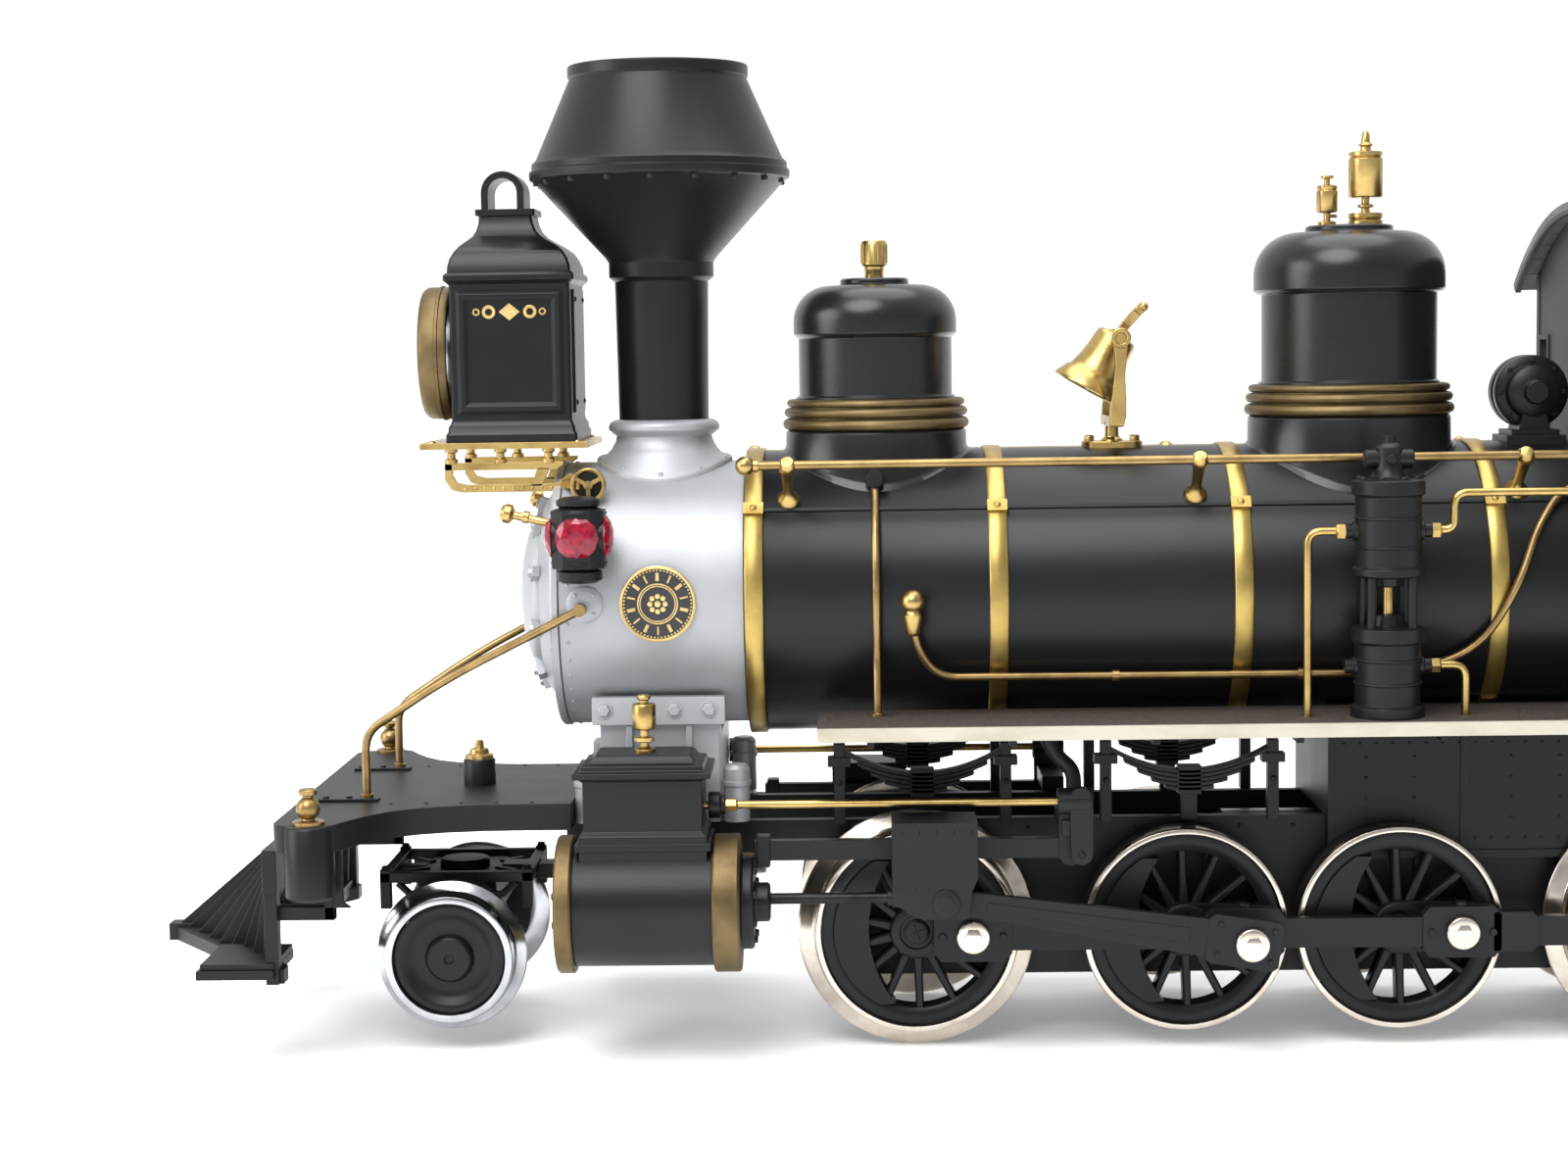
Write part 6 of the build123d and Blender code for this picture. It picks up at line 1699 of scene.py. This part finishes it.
def bell_stand():
    """Cast brass bracket: bolted foot, short stem and two curved cheeks with trunnion bosses."""
    p = Piece("bell_stand_brass")
    x, z = 13.0, 139.6
    base = arc(4.4, -60, 60, 8, (x + 0.8, 0)) + arc(4.4, 120, 240, 8, (x - 2.8, 0))
    p.plate(base, (116.6, 118.9), BRASS, "XY")
    for a in (x - 5.6, x + 3.6):
        p.hex_bolt((a, 0, 118.8), (0, 0, 1), 1.15, 1.3, BRASS)
    p.turn(
        [(2.4, 118.6), (2.2, 119.2), (1.45, 119.7), (1.35, 122.0), (1.9, 122.6), (0, 122.6)], BRASS,
        (x - 1.0, 0, 0), steps=28
    )
    p.block((x - 2.4, -9.4, 121.9), (x + 0.5, 9.4, 124.1), BRASS)
    for side in (-1, 1):
        cheek = [
            (x - 2.4, 122.2), (x + 0.5, 122.0), (x + 1.0, 124.0), (x + 1.05, 127.5), (x + 0.8, 132.0),
            (x + 1.2, 136.5), (x + 1.5, 139.6)
        ]
        cheek += arc(1.6, 20, 160, 8, (x, z)) + [
            (x - 1.4, 138.0), (x - 1.1, 134.0), (x - 1.5, 130.0), (x - 2.1, 126.0)
        ]
        p.plate(cheek, (side * 8.0, side * 9.7), BRASS)
        p.hoop(
            [(1.12, 0), (2.0, 0), (2.0, 0.5), (1.12, 0.5)], BRASS, (x, side * 9.6, z), (0, side, 0), 28
        )
    p.finish("chassis", "bell_stand", bevel=0.3, angle=38)


def bell():
    """The bell is tilted at rest, mouth towards the nose."""
    p = Piece("bell_brass")
    tilt = Matrix.Translation((13.0, 0, 139.6)) @ Matrix.Rotation(math.radians(30.0), 4, "Y")
    down = tilt.to_3x3() @ Vector((0, 0, -1))
    at = tilt @ Vector((0, 0, 0))
    outside = [
        (3.2, -0.55), (3.7, -0.5), (4.1, -0.1), (4.3, 0.8), (4.45, 3.0), (4.8, 5.4), (5.35, 7.6),
        (5.7, 8.7), (6.2, 9.0), (6.9, 10.4),
        (7.35, 11.2), (7.5, 11.7), (7.45, 12.0),
    ]
    inside = [(6.9, 11.9), (5.9, 10.2), (5.0, 8.4), (4.4, 6.0), (3.95, 3.6), (3.6, 2.0), (3.1, 1.4)]
    p.hoop(outside + inside, BRASS, at, down, 80)
    p.turn([(0, -0.55), (3.3, -0.55), (3.3, 1.4), (0, 1.4)], BRASS, at, down, 40)
    p.rod(tilt @ Vector((0, 0, -1.3)), tilt @ Vector((0, 0, -10.0)), 0.6, BRASS)
    p.ball(tilt @ Vector((0, 0, -10.4)), 1.5, BRASS)
    p.rod((13.0, -9.9, 139.6), (13.0, 9.9, 139.6), 1.0, BRASS, 24)
    for side in (-1, 1):
        p.turn([(1.5, 4.2), (1.5, 7.4), (1.1, 7.7)], BRASS, (13.0, 0, 139.6), (0, side, 0), 24)
        prong = [
            tilt @ Vector(v)
            for v in (
                (-0.2, side * 1.0, 0.2), (0.3, side * 1.5, 3.2), (1.0, side * 2.0, 6.4),
                (1.5, side * 2.1, 8.0)
            )
        ]
        for a, b in zip(prong, prong[1:]):
            p.bar(a, b, 1.35, 1.7, BRASS, (0, 1, 0))
        p.ball(prong[-1], 0.95, BRASS, 16)
    p.finish("swinging_bell", "bell", bevel=0.1, angle=42)


def generator():
    p = Piece("turbo_generator")
    x, z = 96.2, 127.6
    drum = [
        (0, -7.0), (2.2, -7.0), (2.4, -6.6), (2.4, -5.4), (4.4, -5.0), (5.2, -4.4), (5.4, -2.6),
        (7.1, -2.3), (7.4, -2.0), (7.4, 0.0), (7.1, 0.3),
        (5.6, 0.5), (5.6, 1.0), (7.1, 1.2), (7.4, 1.5), (7.4, 3.9), (7.1, 4.2), (5.0, 4.5), (4.2, 6.2),
        (3.2, 7.0), (0, 7.0),
    ]
    p.turn(drum, BLACK, (x, 0, z), (0, 1, 0), 64)
    for k in range(8):
        a = 2 * math.pi * k / 8
        p.hex_bolt((x + 6.3 * math.cos(a), -2.2, z + 6.3 * math.sin(a)), (0, -1, 0), 0.6, 0.5, BLACK)
    p.block((90.3, -6.4, 114.6), (102.1, 6.4, 119.0), BLACK)
    p.block((91.4, -5.6, 118.8), (101.0, 5.6, 120.1), BLACK)
    p.plate([(93.0, 119.8), (99.4, 119.8), (98.2, 124.4), (94.2, 124.4)], (-4.6, 4.6), BLACK)
    p.finish("chassis", "generator", bevel=0.18, angle=36)


def cab():
    """Board seams, window frames and a back-head on the carried-over cab walls."""
    p = Piece("cab_trim")
    for side in (-1, 1):
        y = side * 39.95
        for k in range(14):
            x = cab_low.x + 2.5 + 5.0 * k
            low_top = 104.0 if cab_low.x + 9 < x < cab_high.x - 9 else 150.0
            p.plate(
                [(x - 0.2, 69), (x + 0.2, 69), (x + 0.2, low_top), (x - 0.2, low_top)], (y, side * 40.2),
                CAB_GREY
            )
        for x in (cab_low.x + 10, cab_low.x + 38):
            for low, high in (
                ((x - 1.2, 103.8), (x + 23.2, 105.0)), ((x - 1.2, 137.0), (x + 23.2, 138.2)),
                ((x - 1.2, 105.0), (x, 137.0)), ((x + 22, 105.0), (x + 23.2, 137.0))
            ):
                p.plate(
                    [(low[0], low[1]), (high[0], low[1]), (high[0], high[1]), (low[0], high[1])],
                    (y, side * 40.7), CAB_GREY
                )
            p.plate(
                [(x, 120.4), (x + 22, 120.4), (x + 22, 121.6), (x, 121.6)], (side * 39.0, side * 39.8),
                CAB_GREY
            )
        p.side_block(side, (cab_low.x - 0.3, cab_low.x + 1.6), (38.4, 40.4), (67.1, 152.0), CAB_GREY)
        front = cab_low.x
        for y0, y1, z0, z1 in (
            (30.0, 31.0, 83.0, 139.0), (37.0, 38.0, 83.0, 139.0), (31.0, 37.0, 83.0, 84.0),
            (31.0, 37.0, 138.0, 139.0)
        ):
            p.side_block(side, (front - 0.5, front + 0.3), (y0, y1), (z0, z1), CAB_GREY)
    p.turn(
        [(0, 0.0), (25.5, 0.0), (25.5, 4.5), (24.6, 5.4), (0, 5.4)], BLACK,
        (cab_low.x + 1.4, 0, BOILER_Z), (1, 0, 0), 72
    )
    for k in range(24):
        a = 2 * math.pi * k / 24
        p.rivet(
            (cab_low.x + 6.7, 22.6 * math.cos(a), BOILER_Z + 22.6 * math.sin(a)), (1, 0, 0), 0.6, BLACK
        )
    p.turn([(6.4, 0), (6.4, 0.9), (0, 0.9)], BLACK, (cab_low.x + 6.8, 0, BOILER_Z - 8), (1, 0, 0), 32)
    p.turn([(3.2, 0), (3.2, 1.4), (0, 1.4)], BRASS, (cab_low.x + 6.8, 0, BOILER_Z + 14), (1, 0, 0), 32)
    p.tube(
        [
            (cab_low.x + 7, 6, BOILER_Z + 6), (cab_low.x + 13, 6, BOILER_Z + 6),
            (cab_low.x + 15, 11, BOILER_Z + 14)
        ],
        0.8, BRASS
    )
    p.finish("chassis", bevel=0.1, angle=36, slot="cab_grey")


def cab_roof():
    """Arched roof: long boards, an edge board and carline ribs under the overhang."""
    p = Piece("cab_roof_boards")
    crown = roof_high.z
    half = (roof_high.y - roof_low.y) / 2
    centre_z = crown - 75.4
    lean = math.degrees(math.asin(half / 75.4))
    boards = 16
    for k in range(boards):
        start = 90 - lean + 2 * lean * k / boards
        stop = 90 - lean + 2 * lean * (k + 1) / boards - 0.14
        outer = arc(75.35, start, stop, 3, (0, centre_z))
        inner = arc(73.7, stop, start, 3, (0, centre_z))
        p.plate(outer + inner, (roof_low.x, roof_high.x), ROOF, "YZ")
    for x in (roof_low.x + 0.1, roof_high.x - 1.3):
        outer = arc(75.4, 90 - lean, 90 + lean, 28, (0, centre_z))
        inner = arc(73.0, 90 + lean, 90 - lean, 28, (0, centre_z))
        p.plate(outer + inner, (x, x + 1.2), CAB_GREY, "YZ")
    for x in (roof_low.x + 8, (roof_low.x + roof_high.x) / 2, roof_high.x - 8):
        outer = arc(75.4, 90 - lean * 0.96, 90 + lean * 0.96, 28, (0, centre_z))
        inner = arc(75.0, 90 + lean * 0.96, 90 - lean * 0.96, 28, (0, centre_z))
        p.plate(outer + inner, (x - 0.6, x + 0.6), ROOF, "YZ")
    p.finish("chassis", "cab_roof", bevel=0.12, angle=36)


# ---- CAD nodes that stay, with their materials ----------------------------------------------------


def paint(node, material):
    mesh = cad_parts[node].data
    mesh.materials.clear()
    mesh.materials.append(material)
    for polygon in mesh.polygons:
        polygon.material_index = 0


KEPT = {
    "frame": FRAME_BLACK,
    "firebox": FRAME_BLACK,
    "gearbox_housing": FRAME_BLACK,
    "motor": GUIDE_STEEL,
    "motor_shaft": GUIDE_STEEL,
    "ballast_weight": LEAD,
    "drawbar": GUIDE_STEEL,
    "cab_walls": CAB_GREY,
}


# ---- stage -----------------------------------------------------------------------------------------


def stage():
    """Pale flat floor, soft lights and the camera at the viewing place."""
    scene = bpy.context.scene
    bpy.ops.mesh.primitive_plane_add(size=12, location=(0, 0, -0.0001))
    floor = bpy.context.object
    floor.name = "floor"
    floor.data.materials.append(floor_paper())
    world = bpy.data.worlds.new("studio")
    world.use_nodes = True
    tree = world.node_tree
    direction = tree.nodes.new("ShaderNodeTexCoord")
    height = tree.nodes.new("ShaderNodeVectorMath")
    height.operation = "DOT_PRODUCT"
    height.inputs[1].default_value = (0.0, 0.6, 0.8)
    ramp = tree.nodes.new("ShaderNodeValToRGB")
    shift_up = tree.nodes.new("ShaderNodeMapRange")
    shift_up.inputs["From Min"].default_value = -1.0
    tree.links.new(direction.outputs["Generated"], height.inputs[0])
    tree.links.new(height.outputs["Value"], shift_up.inputs["Value"])
    tree.links.new(shift_up.outputs["Result"], ramp.inputs["Fac"])
    tree.links.new(ramp.outputs["Color"], tree.nodes["Background"].inputs["Color"])
    ramp.color_ramp.elements[0].position, ramp.color_ramp.elements[0].color = 0.42, (0.46, 0.47, 0.49, 1)
    ramp.color_ramp.elements[1].position, ramp.color_ramp.elements[1].color = 0.76, (0.98, 0.99, 1.0, 1)
    tree.nodes["Background"].inputs["Strength"].default_value = 1.1
    scene.world = world
    scene.view_settings.view_transform = "Standard"
    soft_light("key", (-0.35, -0.75, 1.05), (0, 0, 0.08), 0.9, 17)
    soft_light("top", (0.05, 0.15, 1.3), (0, 0, 0.05), 1.2, 12)
    soft_light("left_fill", (-1.1, -0.35, 0.45), (-0.05, 0, 0.09), 0.7, 7)
    view = bpy.data.cameras.new("view")
    view.sensor_width = 36
    view.lens = 61.912
    view.clip_start = 0.01
    camera = bpy.data.objects.new("view", view)
    scene.collection.objects.link(camera)
    yaw, pitch, roll = 0.0252, 0.0893, -0.0151
    ahead = Vector((-math.sin(yaw), math.cos(yaw), 0))
    right = Vector((math.cos(yaw), math.sin(yaw), 0))
    up = Vector((0, 0, 1))
    look = ahead * math.cos(pitch) - up * math.sin(pitch)
    over = up * math.cos(pitch) + ahead * math.sin(pitch)
    right, over = right * math.cos(
        roll
    ) + over * math.sin(roll), over * math.cos(roll) - right * math.sin(roll)
    camera.matrix_world = Matrix.Translation((-0.04121, -0.54993, 0.13892)) @ Matrix(
        ((right.x, over.x, -look.x), (right.y, over.y, -look.y), (right.z, over.z, -look.z))
    ).to_4x4()
    scene.camera = camera


def soft_light(name, place, target, size, power):
    light = bpy.data.lights.new(name, "AREA")
    light.shape = "DISK"
    light.size = size
    light.energy = power
    lamp = bpy.data.objects.new(name, light)
    lamp.location = place
    lamp.rotation_euler = (Vector(target) - Vector(place)).to_track_quat("-Z", "Y").to_euler()
    bpy.context.scene.collection.objects.link(lamp)


stage()
smokestack()
stack_base()
dome("sand_dome_casting", "sand_dome", SAND_X, 15.5, 16.5, 18.3, (122.0, 128.6, 141.0, 151.0, 152.4), 6.9)
dome(
    "steam_dome_casting", "steam_dome", STEAM_X, 17.4, 19.0, 20.2, (123.6, 130.2, 148.4, 160.2, 161.5),
    8.7
)
boiler_bands()
dome_fittings()
boiler()
smokebox()
smokebox_front()
builder_plates()
saddle()
cylinders()
cylinder_brass()
steam_chests()
crossheads()
guide_bars()
valve_rods()
driver_wheels()
side_rods()
main_rods()
pilot_wheels()
truck_frame()
pilot_deck()
pole_posts()
cowcatcher()
deck_stays()
leaf_springs()
detail_on_frame()
running_boards()
boiler_pipes()
air_pump()
pump_pipes()
handrails()
headlight_case()
headlight_front()
headlight_bracket()
marker_lamps()
bell_stand()
bell()
generator()
cab()
cab_roof()
for kept, finish_material in KEPT.items():
    paint(kept, finish_material)
